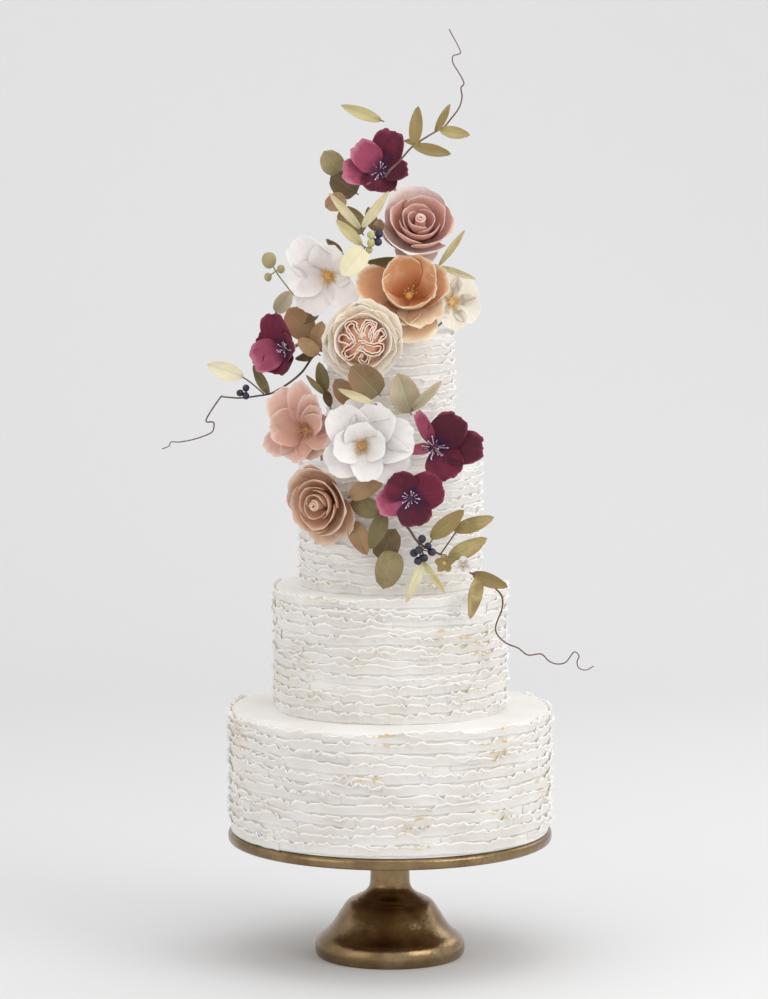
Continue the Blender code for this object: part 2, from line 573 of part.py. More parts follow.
def build_leaves(coll, cutters, olive, bronze, pale_leaf, twig, navy):
    # Loose leaves: name, base, tip, width, back step of the wire, finish, shape
    for name, base, tip, width, back, mat, extra in (
            ("leaf_round_a", (338, 171, 34), (324, 151, 34), 23, 10, olive, {"blunt": 1.0}),
            ("leaf_round_b", (355, 192, 18), (331, 174, 16), 27, 8, bronze, {"blunt": 1.0}),
            ("leaf_round_c", (344, 198, 40), (325, 207, 38), 18, 8, bronze, {"blunt": 1.0}),
            ("leaf_round_d", (361, 232, 34), (340, 208, 30), 25, 10, olive, {"blunt": 1.0}),
            ("leaf_dark_a", (374, 229, 22), (368, 207, 16), 12, 8, olive, {}),
            ("leaf_dark_b", (378, 230, 53), (380, 219, 53), 11, 5, bronze, {"blunt": 1.0}),
            ("leaf_pale_a", (360, 228, 46), (329, 193, 44), 9, 8, pale_leaf, {"bulge": 4}),
            ("leaf_pale_b", (363, 226, 62), (389, 191, 72), 10, 8, pale_leaf, {"bulge": 5}),
            ("leaf_pale_c", (361, 244, 60), (336, 220, 58), 11, 8, pale_leaf, {}),
            ("leaf_pale_d", (363, 250, 72), (341, 276, 80), 24, 8, pale_leaf, {"blunt": 1.0}),
            ("leaf_small_a", (341, 252, 34), (326, 239, 36), 8, 6, bronze, {}),
            ("leaf_arch", (408, 263, 30), (366, 262, 34), 12, 8, olive, {"bulge": 6}),
            ("leaf_top_left", (380, 120, 24), (341, 105, 24), 12, 8, pale_leaf, {}),
            ("leaf_left_a", (277, 311, 34), (291, 291, 32), 16, 6, pale_leaf, {"blunt": 0.8}),
            ("leaf_left_b", (309, 335, 22), (288, 308, 18), 28, 8, olive, {"blunt": 1.0}),
            ("leaf_left_c", (308, 321, 34), (320, 309, 34), 9, 6, bronze, {}),
            ("leaf_left_d", (315, 350, 50), (322, 321, 46), 17, 8, bronze, {"blunt": 0.6}),
            ("leaf_left_e", (317, 353, 60), (298, 339, 58), 15, 6, bronze, {"blunt": 0.9}),
            ("leaf_mid_a", (325, 390, 64), (319, 362, 62), 13, 8, olive, {"blunt": 0.5}),
            ("leaf_mid_b", (323, 393, 70), (306, 375, 70), 6, 6, olive, {}),
            ("leaf_mid_c", (330, 405, 54), (325, 389, 50), 9, 6, bronze, {}),
            ("leaf_mid_round", (378, 393, 114), (351, 366, 114), 31, 6, bronze, {"blunt": 1.0}),
            ("leaf_mid_dark", (352, 402, 92), (335, 379, 88), 20, 8, bronze, {"blunt": 0.8}),
            ("leaf_mid_thin", (373, 403, 136), (338, 389, 128), 8, 6, pale_leaf, {}),
            ("leaf_sage", (410, 411, 84), (398, 373, 84), 29, 8, pale_leaf, {"blunt": 1.0}),
            ("leaf_sage_thin", (414, 408, 98), (442, 381, 102), 10, 6, pale_leaf, {"blunt": 0.6}),
            ("leaf_low_a", (351, 496, 98), (384, 478, 98), 18, 4, olive, {"blunt": 0.8}),
            ("leaf_low_b", (381, 511, 104), (350, 503, 90), 20, 4, olive, {"blunt": 0.5}),
            ("leaf_low_c", (353, 523, 88), (367, 555, 98), 19, 3, bronze, {"blunt": 0.4}),
            ("leaf_low_d", (384, 514, 110), (370, 549, 112), 17, 4, olive, {"blunt": 0.4}),
            ("leaf_low_e", (380, 557, 104), (396, 529, 102), 25, 4, bronze, {"blunt": 1.0}),
            ("leaf_low_f", (393, 553, 114), (383, 589, 120), 27, 4, olive, {"blunt": 1.0})):
        away_x, away_y = base[0] - tip[0], base[1] - tip[1]
        size = math.hypot(away_x, away_y)
        root = (base[0] + away_x / size * 4, base[1] + away_y / size * 4, base[2] - back)
        leaf(name, base, tip, width, [root], coll, cutters, mat, **extra)

    # Twigs with the leaves that grow on them
    top = [(385, 177, 66), (390, 170, 66), (399, 162, 66), (403, 157, 64), (413, 146, 56), (425, 138, 46),
           (435, 132, 38), (444, 127, 34), (450, 120, 32), (459, 108, 30), (462, 97, 30), (461, 88, 30),
           (464, 83, 30), (459, 73, 30), (453, 63, 30), (453, 56, 30), (459, 54, 30), (460, 50, 30),
           (449, 29, 30)]
    twig_with_leaves("twig_top", top, 1.2, 0.5, (
        ((414, 145, 55), (418, 106, 46), 13), ((436, 131, 38), (450, 104, 34), 8),
        ((441, 130, 36), (470, 135, 34), 12), ((414, 146, 56), (451, 154, 44), 12),
        ((419, 142, 50), (404, 141, 46), 6)), coll, cutters, twig, 300)
    left = [(326, 351, 8), (317, 351, 34), (311, 359, 32), (302, 372, 30), (289, 383, 32), (276, 391, 34),
            (269, 394, 34), (257, 396, 36), (250, 397, 36), (238, 398, 36), (224, 397, 36), (220, 398, 36),
            (206, 420, 36), (213, 422, 36), (214, 426, 36), (212, 432, 36), (204, 436, 36), (191, 440, 36),
            (179, 442, 36), (171, 442, 36), (169, 446, 36), (162, 449, 36)]
    twig_with_leaves("twig_left", left, 1.4, 0.5, (
        ((313, 355, 32), (295, 359, 38), 9), ((268, 393, 34), (253, 365, 34), 10),
        ((242, 376, 38), (207, 364, 38), 18)), coll, cutters, twig, 250,
        spurs=(((264, 394, 34), (250, 382, 37), (239, 375, 38)),))
    low = [(398, 515, 97), (405, 524, 110), (411, 532, 114), (417, 541, 114), (428, 549, 112),
           (437, 553, 110), (447, 557, 108), (458, 564, 106), (469, 572, 104), (477, 576, 102),
           (487, 582, 100), (496, 589, 98), (502, 597, 96), (502, 609, 94), (496, 625, 92), (497, 634, 92),
           (506, 643, 92), (518, 648, 92), (528, 655, 92), (541, 654, 92), (549, 661, 92), (557, 664, 92),
           (566, 662, 92), (574, 652, 92), (579, 656, 92), (577, 662, 92), (579, 668, 92), (586, 670, 92),
           (594, 666, 92)]
    twig_with_leaves("twig_low", low, 1.4, 0.5, (
        ((432, 537, 118), (464, 510, 120), 17), ((455, 530, 110), (494, 517, 108), 15),
        ((450, 557, 108), (487, 538, 112), 17), ((474, 574, 102), (508, 587, 106), 14),
        ((479, 577, 102), (470, 619, 124), 14), ((423, 563, 116), (406, 603, 125), 10),
        ((424, 563, 116), (445, 593, 121), 7)), coll, cutters, twig, 440,
        spurs=(((425, 548, 113), (430, 543, 117), (436, 534, 118)), ((440, 555, 109), (458, 529, 110)),
               ((417, 541, 114), (424, 556, 115), (424, 566, 116))))
    sprig = [leaf_mesh("blade_a", spot(440, 264, 16), spot(465, 230, 12), 7),
             leaf_mesh("blade_b", spot(442, 267, 18), spot(476, 279, 20), 7),
             tube("blade_wire", [spot(436, 268, 6), spot(441, 264, 16), spot(444, 260, 16)], 0.8 * MM),
             tube("blade_spur", [spot(438, 266, 10), spot(446, 268, 18)], 0.8 * MM)]
    fuse("leaf_blades", sprig, pale_leaf, coll, cutters, 90)

    berries("berries_top", ((371, 235, 64, 4), (371, 243, 66, 4), (379, 234, 62, 4), (378, 242, 64, 4),
                            (369, 250, 62, 3.5)), (375, 240, 56), coll, cutters, navy)
    berries("berries_left", ((246, 388, 42, 3.5), (240, 393, 42, 3.5), (246, 396, 44, 3.5)),
            (246, 393, 38.5), coll, cutters, navy)
    berries("berries_low", ((422, 539, 122, 4), (414, 553, 122, 4), (418, 561, 122, 4), (424, 558, 122, 4),
                            (432, 552, 120, 4), (419, 550, 127, 4), (428, 546, 122, 3.5)),
            (422, 550, 117.5), coll, cutters, navy)
    buds(coll, cutters, pale_leaf)


def twig_with_leaves(name, path, thick, thin, leaves, coll, cutters, mat, keep, spurs=()):
    points = [spot(*p) for p in path]
    count = len(points)
    radii = [(thick + (thin - thick) * (i / (count - 1)) ** 0.6) * MM for i in range(count)]
    meshes = [tube(name + "_wire", points, radii)]
    for i, (base, tip, width) in enumerate(leaves):
        meshes.append(leaf_mesh(f"{name}_leaf{i}", spot(*base), spot(*tip), width))
    for i, spur in enumerate(spurs):
        meshes.append(tube(f"{name}_spur{i}", [spot(*p) for p in spur], 0.7 * MM))
    fuse(name, meshes, mat, coll, cutters, keep)


def berries(name, places, hub, coll, cutters, mat):
    meshes = [ball(name + "_hub", spot(*hub), (1.6 * MM,) * 3, 6, 4)]
    for i, (across, down, front, size) in enumerate(places):
        centre = spot(across, down, front)
        meshes.append(ball(f"{name}_berry{i}", centre, (size * MM,) * 3, 6, 5))
        meshes.append(tube(f"{name}_stalk{i}", [spot(*hub), centre], 0.7 * MM))
    fuse(name, meshes, mat, coll, cutters, 36 * len(places))


def buds(coll, cutters, mat):
    path = [spot(*p) for p in ((274, 268, 22), (279, 276, 22), (289, 289, 20), (307, 311, 14))]
    meshes = [tube("bud_spray_wire", path, 0.7 * MM)]
    for i, (across, down, size) in enumerate(((269, 260, 7.5), (281, 269, 4.5), (268, 277, 4.0))):
        centre = spot(across, down, 22)
        meshes.append(ball(f"bud_spray_bud{i}", centre, (size * 0.8 * MM, size * 0.8 * MM, size * MM), 6, 5))
        meshes.append(tube(f"bud_spray_stalk{i}", [spot(276, 271, 22), centre], 0.7 * MM))
    fuse("bud_spray", meshes, mat, coll, cutters, 110)


main()
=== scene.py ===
"""Tiered wedding cake: frilled tiers on a turned brass stand, dressed with sugar flowers."""
import math

import bmesh
import bpy
import numpy as np
from mathutils import Matrix, Vector


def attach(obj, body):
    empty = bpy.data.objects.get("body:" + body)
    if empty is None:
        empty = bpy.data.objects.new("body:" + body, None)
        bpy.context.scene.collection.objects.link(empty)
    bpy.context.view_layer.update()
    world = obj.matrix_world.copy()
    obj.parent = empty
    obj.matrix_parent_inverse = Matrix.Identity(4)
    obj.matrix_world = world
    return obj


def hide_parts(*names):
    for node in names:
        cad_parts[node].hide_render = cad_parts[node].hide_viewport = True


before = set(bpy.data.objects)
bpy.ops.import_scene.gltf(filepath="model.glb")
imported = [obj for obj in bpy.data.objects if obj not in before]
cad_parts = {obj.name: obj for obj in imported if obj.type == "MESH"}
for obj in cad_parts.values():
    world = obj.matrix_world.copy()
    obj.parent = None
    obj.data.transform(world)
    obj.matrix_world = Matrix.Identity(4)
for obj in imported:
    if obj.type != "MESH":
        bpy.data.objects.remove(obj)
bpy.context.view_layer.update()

# Sizes are in millimetres, and MM turns them into metres
MM = 0.001

# The matched eye: the camera, and where a point of the front elevation really stands
EYE_FAR = 4500.0
EYE_HIGH = 1010.0
EYE_DOWN = math.radians(6.93)
EYE_ASIDE = -6.0
EYE_SCALE = 4535.0
MIDDLE_ACROSS = 384.0
MIDDLE_DOWN = 499.5
PHOTO_TALL = 999
SENSOR_TALL = 36.0

# Tiers, bottom to top: name, lip radius, underside, top, frill rows, strips a row, lean, lip ruffle, pleats
TIERS = (
    ("tier_bottom", 162.0, 130.0, 254.2, 12, 6, 2.0, 1.0, 0.15),
    ("tier_third", 117.0, 254.5, 378.2, 13, 5, 1.8, 0.85, 1.3),
    ("tier_second", 90.5, 378.5, 500.7, 13, 4, 1.6, 0.8, 1.0),
    ("tier_top", 63.5, 501.0, 631.0, 14, 3, 1.5, 0.75, 1.0),
)

# Thickness of petals, leaves, the sheets in a rose's heart and the frills
PETAL_THICK = 0.7
LEAF_THICK = 0.7
SHEET_THICK = 1.4
FRILL_THICK = 0.6

# How far a frill's lip may stand out past the tier's lip radius
LIP_LIMIT = 3.4

# Turn from one thread of a tuft to the next, and from one petal of a rose to the next
THREAD_TURN = 2.39996
ROSE_TURN = 138

# What a petal is given unless its own call says otherwise
PETAL = {"start": 1.5, "lift": 0.0, "curl": 0.0, "ruffle": 0.0, "phase": 0.0, "drop": 0.3, "notch": 0.0,
         "waist": 0.35, "taper": 0.15, "look": None, "tip": 2.0, "curl_from": 0.7, "teeth": 0.0}
RUFFLE_WAVES = 5.0

ROOM_LIGHT = 0.86


def spot(across, down, front):
    """Real place in mm of a point read off the front elevation, so many mm in front of the axis."""
    far = EYE_FAR - front
    sin_d, cos_d = math.sin(EYE_DOWN), math.cos(EYE_DOWN)
    k = (MIDDLE_DOWN - down) / EYE_SCALE
    rise = far * (k * cos_d - sin_d) / (cos_d + k * sin_d)
    depth = far * cos_d - rise * sin_d
    x = (across - MIDDLE_ACROSS) / EYE_SCALE * depth + EYE_ASIDE
    return np.array((x, -front, EYE_HIGH + rise))


# Node trees
class Val:
    """A value in a node tree: plain arithmetic on it adds the Math nodes."""

    def __init__(self, bench, socket):
        self.bench = bench
        self.socket = socket

    def join(self, operation, *others):
        made = self.bench.node("ShaderNodeMath", {"operation": operation}, dict(enumerate(others)))
        return Val(self.bench, made.outputs[0])

    def __add__(self, other):
        return self.join("ADD", self, other)

    __radd__ = __add__

    def __sub__(self, other):
        return self.join("SUBTRACT", self, other)

    def __rsub__(self, other):
        return self.join("SUBTRACT", other, self)

    def __mul__(self, other):
        return self.join("MULTIPLY", self, other)

    __rmul__ = __mul__

    def __truediv__(self, other):
        return self.join("DIVIDE", self, other)

    def __pow__(self, other):
        return self.join("POWER", self, other)

    def sin(self):
        return self.join("SINE", self)

    def cos(self):
        return self.join("COSINE", self)

    def size(self):
        return self.join("ABSOLUTE", self)

    def whole(self):
        return self.join("FLOOR", self)

    def top(self, other):
        return self.join("MAXIMUM", self, other)


class Bench:
    """A node tree being filled."""

    def __init__(self, tree):
        self.tree = tree

    def node(self, kind, settings=None, values=None):
        """Add a node: its settings first, then the values or links of its sockets."""
        made = self.tree.nodes.new(kind)
        for key, value in (settings or {}).items():
            if key == "stops":
                ramp = made.color_ramp
                while len(ramp.elements) < len(value):
                    ramp.elements.new(0.5)
                for stop, (place, colour) in zip(ramp.elements, value):
                    stop.position = place
                    stop.color = (*colour, 1.0)
            else:
                setattr(made, key, value)
        for key, value in (values or {}).items():
            self.feed(made.inputs[key], value)
        return made

    def feed(self, socket, value):
        if isinstance(value, Val):
            self.tree.links.new(value.socket, socket)
        elif isinstance(value, bpy.types.NodeSocket):
            self.tree.links.new(value, socket)
        elif socket.type == "RGBA" and len(value) == 3:
            socket.default_value = (*value, 1.0)
        else:
            socket.default_value = value

    def val(self, socket):
        return Val(self, socket)

    def mix(self, mask, one, two, blend="MIX"):
        """Colour one where the mask is 0, colour two where it is 1."""
        made = self.node("ShaderNodeMix", {"data_type": "RGBA", "blend_type": blend, "clamp_factor": True},
                         {"Factor": mask, 6: one, 7: two})
        return made.outputs[2]

    def step(self, value, low, high):
        """0 below low, 1 above high, smooth between."""
        made = self.node("ShaderNodeMapRange", {"interpolation_type": "SMOOTHSTEP"},
                         {"Value": value, "From Min": low, "From Max": high})
        return self.val(made.outputs[0])

    def grain(self, place, scale, detail=2.0, roughness=0.5, distortion=0.0):
        made = self.node("ShaderNodeTexNoise", None,
                         {"Vector": place, "Scale": scale, "Detail": detail, "Roughness": roughness,
                          "Distortion": distortion})
        return self.val(made.outputs[0])

    def point(self, x, y, z):
        return self.node("ShaderNodeCombineXYZ", None, {0: x, 1: y, 2: z}).outputs[0]

    def chance(self, low, high, salt):
        """A random number for each piece the tree makes: its own number and the tree's seed decide."""
        made = self.node("FunctionNodeRandomValue", {"data_type": "FLOAT"},
                         {2: low, 3: high, "ID": self.number, "Seed": self.seed + salt})
        return self.val(made.outputs[1])


def new_tree(name, result, **inputs):
    """A Geometry Nodes tree with named inputs (a kind for each) and one result."""
    tree = bpy.data.node_groups.new(name, "GeometryNodeTree")
    for key, kind in inputs.items():
        tree.interface.new_socket(key.replace("_", " "), in_out="INPUT", socket_type="NodeSocket" + kind)
    tree.interface.new_socket(result, in_out="OUTPUT", socket_type="NodeSocketGeometry")
    bench = Bench(tree)
    given = bench.node("NodeGroupInput").outputs
    bench.seed = bench.val(given["Seed"])
    return tree, bench, given


# Finishes
finishes = {}


def finish(name, colour, roughness, height=None, lift=0.0, metallic=0.0, glow=None, **constants):
    """A Principled finish. colour, roughness, height and glow are made by functions of the bench."""
    made = bpy.data.materials.new(name)
    made.use_nodes = True
    made.node_tree.nodes.clear()
    bench = Bench(made.node_tree)
    shader = bench.node("ShaderNodeBsdfPrincipled", None, constants)
    out = bench.node("ShaderNodeOutputMaterial")
    bench.feed(out.inputs["Surface"], shader.outputs[0])
    bench.place = bench.node("ShaderNodeTexCoord").outputs["Object"]
    bench.feed(shader.inputs["Base Color"], colour(bench))
    bench.feed(shader.inputs["Roughness"], roughness(bench) if callable(roughness) else roughness)
    bench.feed(shader.inputs["Metallic"], metallic(bench) if callable(metallic) else metallic)
    if glow is not None:
        bench.feed(shader.inputs["Emission Color"], glow(bench))
        shader.inputs["Emission Strength"].default_value = 1.0
    if height is not None:
        bump = bench.node("ShaderNodeBump", None,
                          {"Strength": 1.0, "Distance": lift, "Height": height(bench)})
        bench.feed(shader.inputs["Normal"], bump.outputs[0])
    finishes[name] = made
    return made


def sheet_uv(bench):
    """Across (-1 to 1) and along (0 base, 1 rim) of a petal, a leaf or a frill."""
    uv = bench.node("ShaderNodeUVMap", {"uv_map": "sheet"}).outputs[0]
    split = bench.node("ShaderNodeSeparateXYZ", None, {0: uv}).outputs
    return bench.val(split[0]) * 2 - 1, bench.val(split[1])


def own_shade(bench):
    """A number from 0 to 1 that differs from petal to petal."""
    return bench.val(bench.node("ShaderNodeAttribute", {"attribute_name": "shade"}).outputs["Fac"])


def petal_finish(name, heart, body, rim, vein, tint, vein_depth=0.35, heart_to=0.35, rim_from=0.8, soft=0.2):
    """Dusted sugar paste: heart colour at the base, body, rim, fine veins, a second tint. Light spreads
    inside it by the share soft."""

    def colour(bench):
        u, v = sheet_uv(bench)
        shade = own_shade(bench)
        cloud = bench.grain(bench.place, 90.0, 3.0)
        fan = bench.point(u * 14.0 / (v + 0.35), v * 1.2, shade * 31.0)
        streak = bench.grain(fan, 2.2, 3.0, 0.6)
        main = bench.mix(bench.step(cloud + shade * 0.5 - 0.25, 0.3, 0.75), body, tint)
        main = bench.mix(bench.step(streak, 0.48, 0.75) * vein_depth, main, vein)
        edge = bench.step(v + (u.size() ** 3) * 0.12 + (cloud - 0.5) * 0.25, rim_from, 1.05)
        main = bench.mix(edge, main, rim)
        return bench.mix(1 - bench.step(v + (streak - 0.5) * 0.2, 0.04, heart_to), main, heart)

    def height(bench):
        u, v = sheet_uv(bench)
        shade = own_shade(bench)
        fan = bench.point(u * 16.0 / (v + 0.35), v * 1.5, shade * 31.0)
        return bench.grain(fan, 2.4, 3.0, 0.6) + bench.grain(bench.place, 700.0, 2.0) * 0.3

    return finish(name, colour, lambda b: b.grain(b.place, 120.0) * 0.2 + 0.52, height, 0.0006,
                  **{"Sheen Weight": 0.06, "Specular IOR Level": 0.25, "Subsurface Weight": soft,
                     "Subsurface Radius": (0.8, 0.92, 1.0), "Subsurface Scale": 0.004})


def plain_finish(name, one, two, scale, rough, lift=0.0003, bump_scale=900.0, glow=None, **constants):
    """Two close tints in a soft cloud, over a fine grain."""
    return finish(name, lambda b: b.mix(b.step(b.grain(b.place, scale, 3.0), 0.35, 0.65), one, two),
                  lambda b: b.grain(b.place, scale * 2) * 0.2 + (rough - 0.1),
                  lambda b: b.grain(b.place, bump_scale, 3.0), lift, glow=glow, **constants)


def leaf_finish(name, body, tint, blush, vein, blush_more=0.0):
    """Dusted leaf: body and tint in clouds, a blush to the tip and edges, paler midrib and side veins."""

    def colour(bench):
        u, v = sheet_uv(bench)
        shade = own_shade(bench)
        cloud = bench.grain(bench.place, 70.0, 4.0, 0.6)
        main = bench.mix(bench.step(cloud + shade * 0.6 - 0.3, 0.35, 0.7), body, tint)
        warm = cloud * 0.7 + v * 0.35 + u.size() * 0.25 + shade * 0.4 + (blush_more - 0.55)
        main = bench.mix(bench.step(warm, 0.3, 0.75) * 0.85, main, blush)
        rib = 1 - bench.step(u.size(), 0.02, 0.07)
        slant = ((v * 9 - u.size() * 3.2) * math.pi).sin().size()
        side = (1 - bench.step(slant, 0.02, 0.22)) * 0.35
        return bench.mix(rib.top(side) * 0.38, main, vein)

    def height(bench):
        u, v = sheet_uv(bench)
        rib = 1 - bench.step(u.size(), 0.0, 0.09)
        slant = ((v * 9 - u.size() * 3.2) * math.pi).sin().size()
        side = 1 - bench.step(slant, 0.0, 0.3)
        return rib * -1.0 + side * -0.4 + bench.grain(bench.place, 350.0, 3.0) * 0.5

    return finish(name, colour, lambda b: b.grain(b.place, 150.0) * 0.25 + 0.4, height, 0.0004,
                  **{"Specular IOR Level": 0.35})


def make_finishes():
    # Brass: worn olive gold in clouds, spots of brown patina, a fine grain in the bumps
    def brass_colour(b):
        cloud = b.grain(b.place, 22.0, 5.0, 0.6)
        spots = b.grain(b.place, 160.0, 4.0, 0.7)
        worn = b.mix(b.step(cloud, 0.35, 0.65), (0.20, 0.13, 0.066), (0.31, 0.22, 0.12))
        return b.mix(b.step(spots + cloud * 0.4, 0.7, 0.95) * 0.4, worn, (0.10, 0.062, 0.033))

    finish("antique_brass", brass_colour,
           lambda b: b.grain(b.place, 90.0, 4.0, 0.6) * 0.16 + 0.14,
           lambda b: b.grain(b.place, 260.0, 4.0, 0.6), 0.0003, metallic=1.0)

    # Icing drum and frills: ivory, with painted shade in beige under each lip, painted light at the foot of
    # each strip, a painted highlight along the lips, a faint painted glow, and gold leaf caught along some
    # lips
    def frill_gold(b):
        v = sheet_uv(b)[1]
        patch = b.step(b.grain(b.place, 19.0, 2.0), 0.565, 0.63)
        fleck = b.step(b.grain(b.place, 130.0, 4.0, 0.7), 0.48, 0.58)
        return patch * fleck * b.step(v, 0.62, 0.86)

    def frill_colour(b):
        v = sheet_uv(b)[1]
        cloud = b.grain(b.place, 24.0, 3.0)
        main = b.mix(b.step(cloud, 0.35, 0.65), (0.68, 0.66, 0.63), (0.735, 0.73, 0.72))
        # Painted light: the foot of each strip is lighter, which lifts the shade in the pockets between rows
        main = b.mix(b.step(v, 0.05, 0.35), (0.79, 0.77, 0.745), main)
        # Painted shade: beige below each lip, where the overhanging lip shades the strip
        main = b.mix((b.step(v, 0.35, 0.80) - b.step(v, 0.84, 0.95)) * 0.7, main, (0.76, 0.69, 0.61))
        # Painted highlight: a near-white line along each lip, where the thin edge catches the light
        main = b.mix(b.step(v, 0.86, 0.97) * 0.9, main, (0.92, 0.915, 0.905))
        return b.mix(frill_gold(b) * 0.85, main, (0.60, 0.43, 0.16))

    def painted_glow(dim, bright):
        """Painted light: a faint glow in soft clouds that stands in for light passing through thin paste and
        lifts the shade in the pockets.
        """
        return lambda b: b.mix(b.step(b.grain(b.place, 24.0), 0.3, 0.7), dim, bright)

    translucent = {"Subsurface Weight": 0.3, "Subsurface Radius": (0.8, 0.92, 1.0), "Subsurface Scale": 0.006}
    finish("wafer_frill", frill_colour, lambda b: 0.62 - frill_gold(b) * 0.25,
           lambda b: b.grain(b.place, 500.0, 3.0), 0.0002, metallic=lambda b: frill_gold(b) * 0.5,
           glow=painted_glow((0.050, 0.047, 0.042), (0.06, 0.058, 0.055)),
           **{"Sheen Weight": 0.1, "Specular IOR Level": 0.3}, **translucent)
    # The drum's glow is painted light that lifts the shade in the pockets behind the frills
    plain_finish("ivory_icing", (0.66, 0.64, 0.61), (0.69, 0.68, 0.665), 25.0, 0.6, 0.0004, 180.0,
                 glow=painted_glow((0.12, 0.113, 0.10), (0.14, 0.135, 0.125)))

    petal_finish("wine_petal", (0.040, 0.010, 0.060), (0.080, 0.008, 0.020), (0.22, 0.035, 0.065),
                 (0.035, 0.003, 0.008), (0.16, 0.013, 0.036), 0.6, 0.50, 0.90, 0.06)
    petal_finish("raspberry_petal", (0.10, 0.016, 0.06), (0.33, 0.055, 0.11), (0.50, 0.17, 0.235),
                 (0.20, 0.025, 0.06), (0.40, 0.09, 0.155), 0.5, 0.46, 0.8, 0.06)
    petal_finish("dusty_petal", (0.38, 0.13, 0.09), (0.70, 0.37, 0.295), (0.83, 0.61, 0.53),
                 (0.56, 0.24, 0.185), (0.76, 0.46, 0.38), 0.25, 0.42, 0.90, 0.3)
    petal_finish("dusty_outer", (0.56, 0.28, 0.22), (0.80, 0.59, 0.53), (0.87, 0.75, 0.70),
                 (0.68, 0.44, 0.38), (0.84, 0.68, 0.62), 0.25, 0.4, 0.80, 0.3)
    petal_finish("clay_petal", (0.32, 0.13, 0.065), (0.66, 0.36, 0.225), (0.80, 0.55, 0.40),
                 (0.48, 0.22, 0.13), (0.72, 0.44, 0.29), 0.25, 0.42, 0.88, 0.3)
    petal_finish("clay_outer", (0.42, 0.20, 0.10), (0.60, 0.34, 0.21), (0.78, 0.60, 0.47),
                 (0.50, 0.26, 0.15), (0.72, 0.50, 0.37), 0.25, 0.4, 0.74)
    petal_finish("blush_petal", (0.56, 0.24, 0.13), (0.74, 0.42, 0.33), (0.86, 0.66, 0.56),
                 (0.66, 0.29, 0.22), (0.82, 0.50, 0.41), 0.3, 0.4, 0.84, 0.25)
    petal_finish("peach_petal", (0.42, 0.12, 0.035), (0.68, 0.335, 0.165), (0.86, 0.71, 0.48),
                 (0.56, 0.23, 0.09), (0.78, 0.48, 0.29), 0.35, 0.62, 0.86)
    petal_finish("peach_outer", (0.58, 0.24, 0.09), (0.75, 0.47, 0.28), (0.86, 0.75, 0.52),
                 (0.62, 0.32, 0.15), (0.82, 0.60, 0.41), 0.35, 0.35, 0.84, 0.35)
    petal_finish("cream_petal", (0.84, 0.56, 0.37), (0.89, 0.77, 0.61), (0.93, 0.86, 0.75),
                 (0.85, 0.71, 0.55), (0.92, 0.84, 0.71), 0.2, 0.5, 0.80, 0.25)
    petal_finish("pale_cream_petal", (0.76, 0.60, 0.36), (0.81, 0.73, 0.59), (0.86, 0.81, 0.68),
                 (0.77, 0.66, 0.50), (0.84, 0.78, 0.65), 0.2, 0.35, 0.80, 0.5)
    petal_finish("fold_petal", (0.66, 0.34, 0.20), (0.74, 0.44, 0.30), (0.85, 0.66, 0.53),
                 (0.66, 0.35, 0.22), (0.79, 0.52, 0.38), 0.2, 0.6, 0.93, 0.4)
    petal_finish("white_petal", (0.74, 0.60, 0.40), (0.82, 0.78, 0.765), (0.87, 0.85, 0.84),
                 (0.78, 0.72, 0.70), (0.89, 0.85, 0.83), 0.25, 0.30, 0.84, 0.4)
    petal_finish("pink_white_petal", (0.78, 0.62, 0.44), (0.83, 0.765, 0.74), (0.87, 0.83, 0.815),
                 (0.80, 0.70, 0.67), (0.89, 0.83, 0.81), 0.25, 0.30, 0.84, 0.4)

    leaf_finish("olive_leaf", (0.17, 0.135, 0.055), (0.27, 0.215, 0.10), (0.24, 0.13, 0.07),
                (0.36, 0.29, 0.16))
    leaf_finish("bronze_leaf", (0.14, 0.095, 0.045), (0.20, 0.145, 0.065), (0.29, 0.145, 0.085),
                (0.34, 0.24, 0.15), 0.06)
    leaf_finish("tan_leaf", (0.33, 0.215, 0.105), (0.42, 0.27, 0.14), (0.46, 0.22, 0.12), (0.54, 0.38, 0.24))
    leaf_finish("round_olive_leaf", (0.36, 0.30, 0.125), (0.26, 0.22, 0.095), (0.34, 0.22, 0.12),
                (0.48, 0.41, 0.23))
    leaf_finish("pale_leaf", (0.55, 0.48, 0.24), (0.70, 0.64, 0.42), (0.60, 0.47, 0.24), (0.76, 0.70, 0.50))
    leaf_finish("cream_leaf", (0.72, 0.66, 0.44), (0.80, 0.74, 0.54), (0.76, 0.68, 0.44), (0.84, 0.79, 0.62))
    leaf_finish("sage_leaf", (0.50, 0.43, 0.28), (0.42, 0.37, 0.24), (0.58, 0.46, 0.32), (0.62, 0.56, 0.42))
    leaf_finish("gold_leaf", (0.28, 0.20, 0.075), (0.47, 0.38, 0.17), (0.33, 0.20, 0.08), (0.52, 0.43, 0.22))

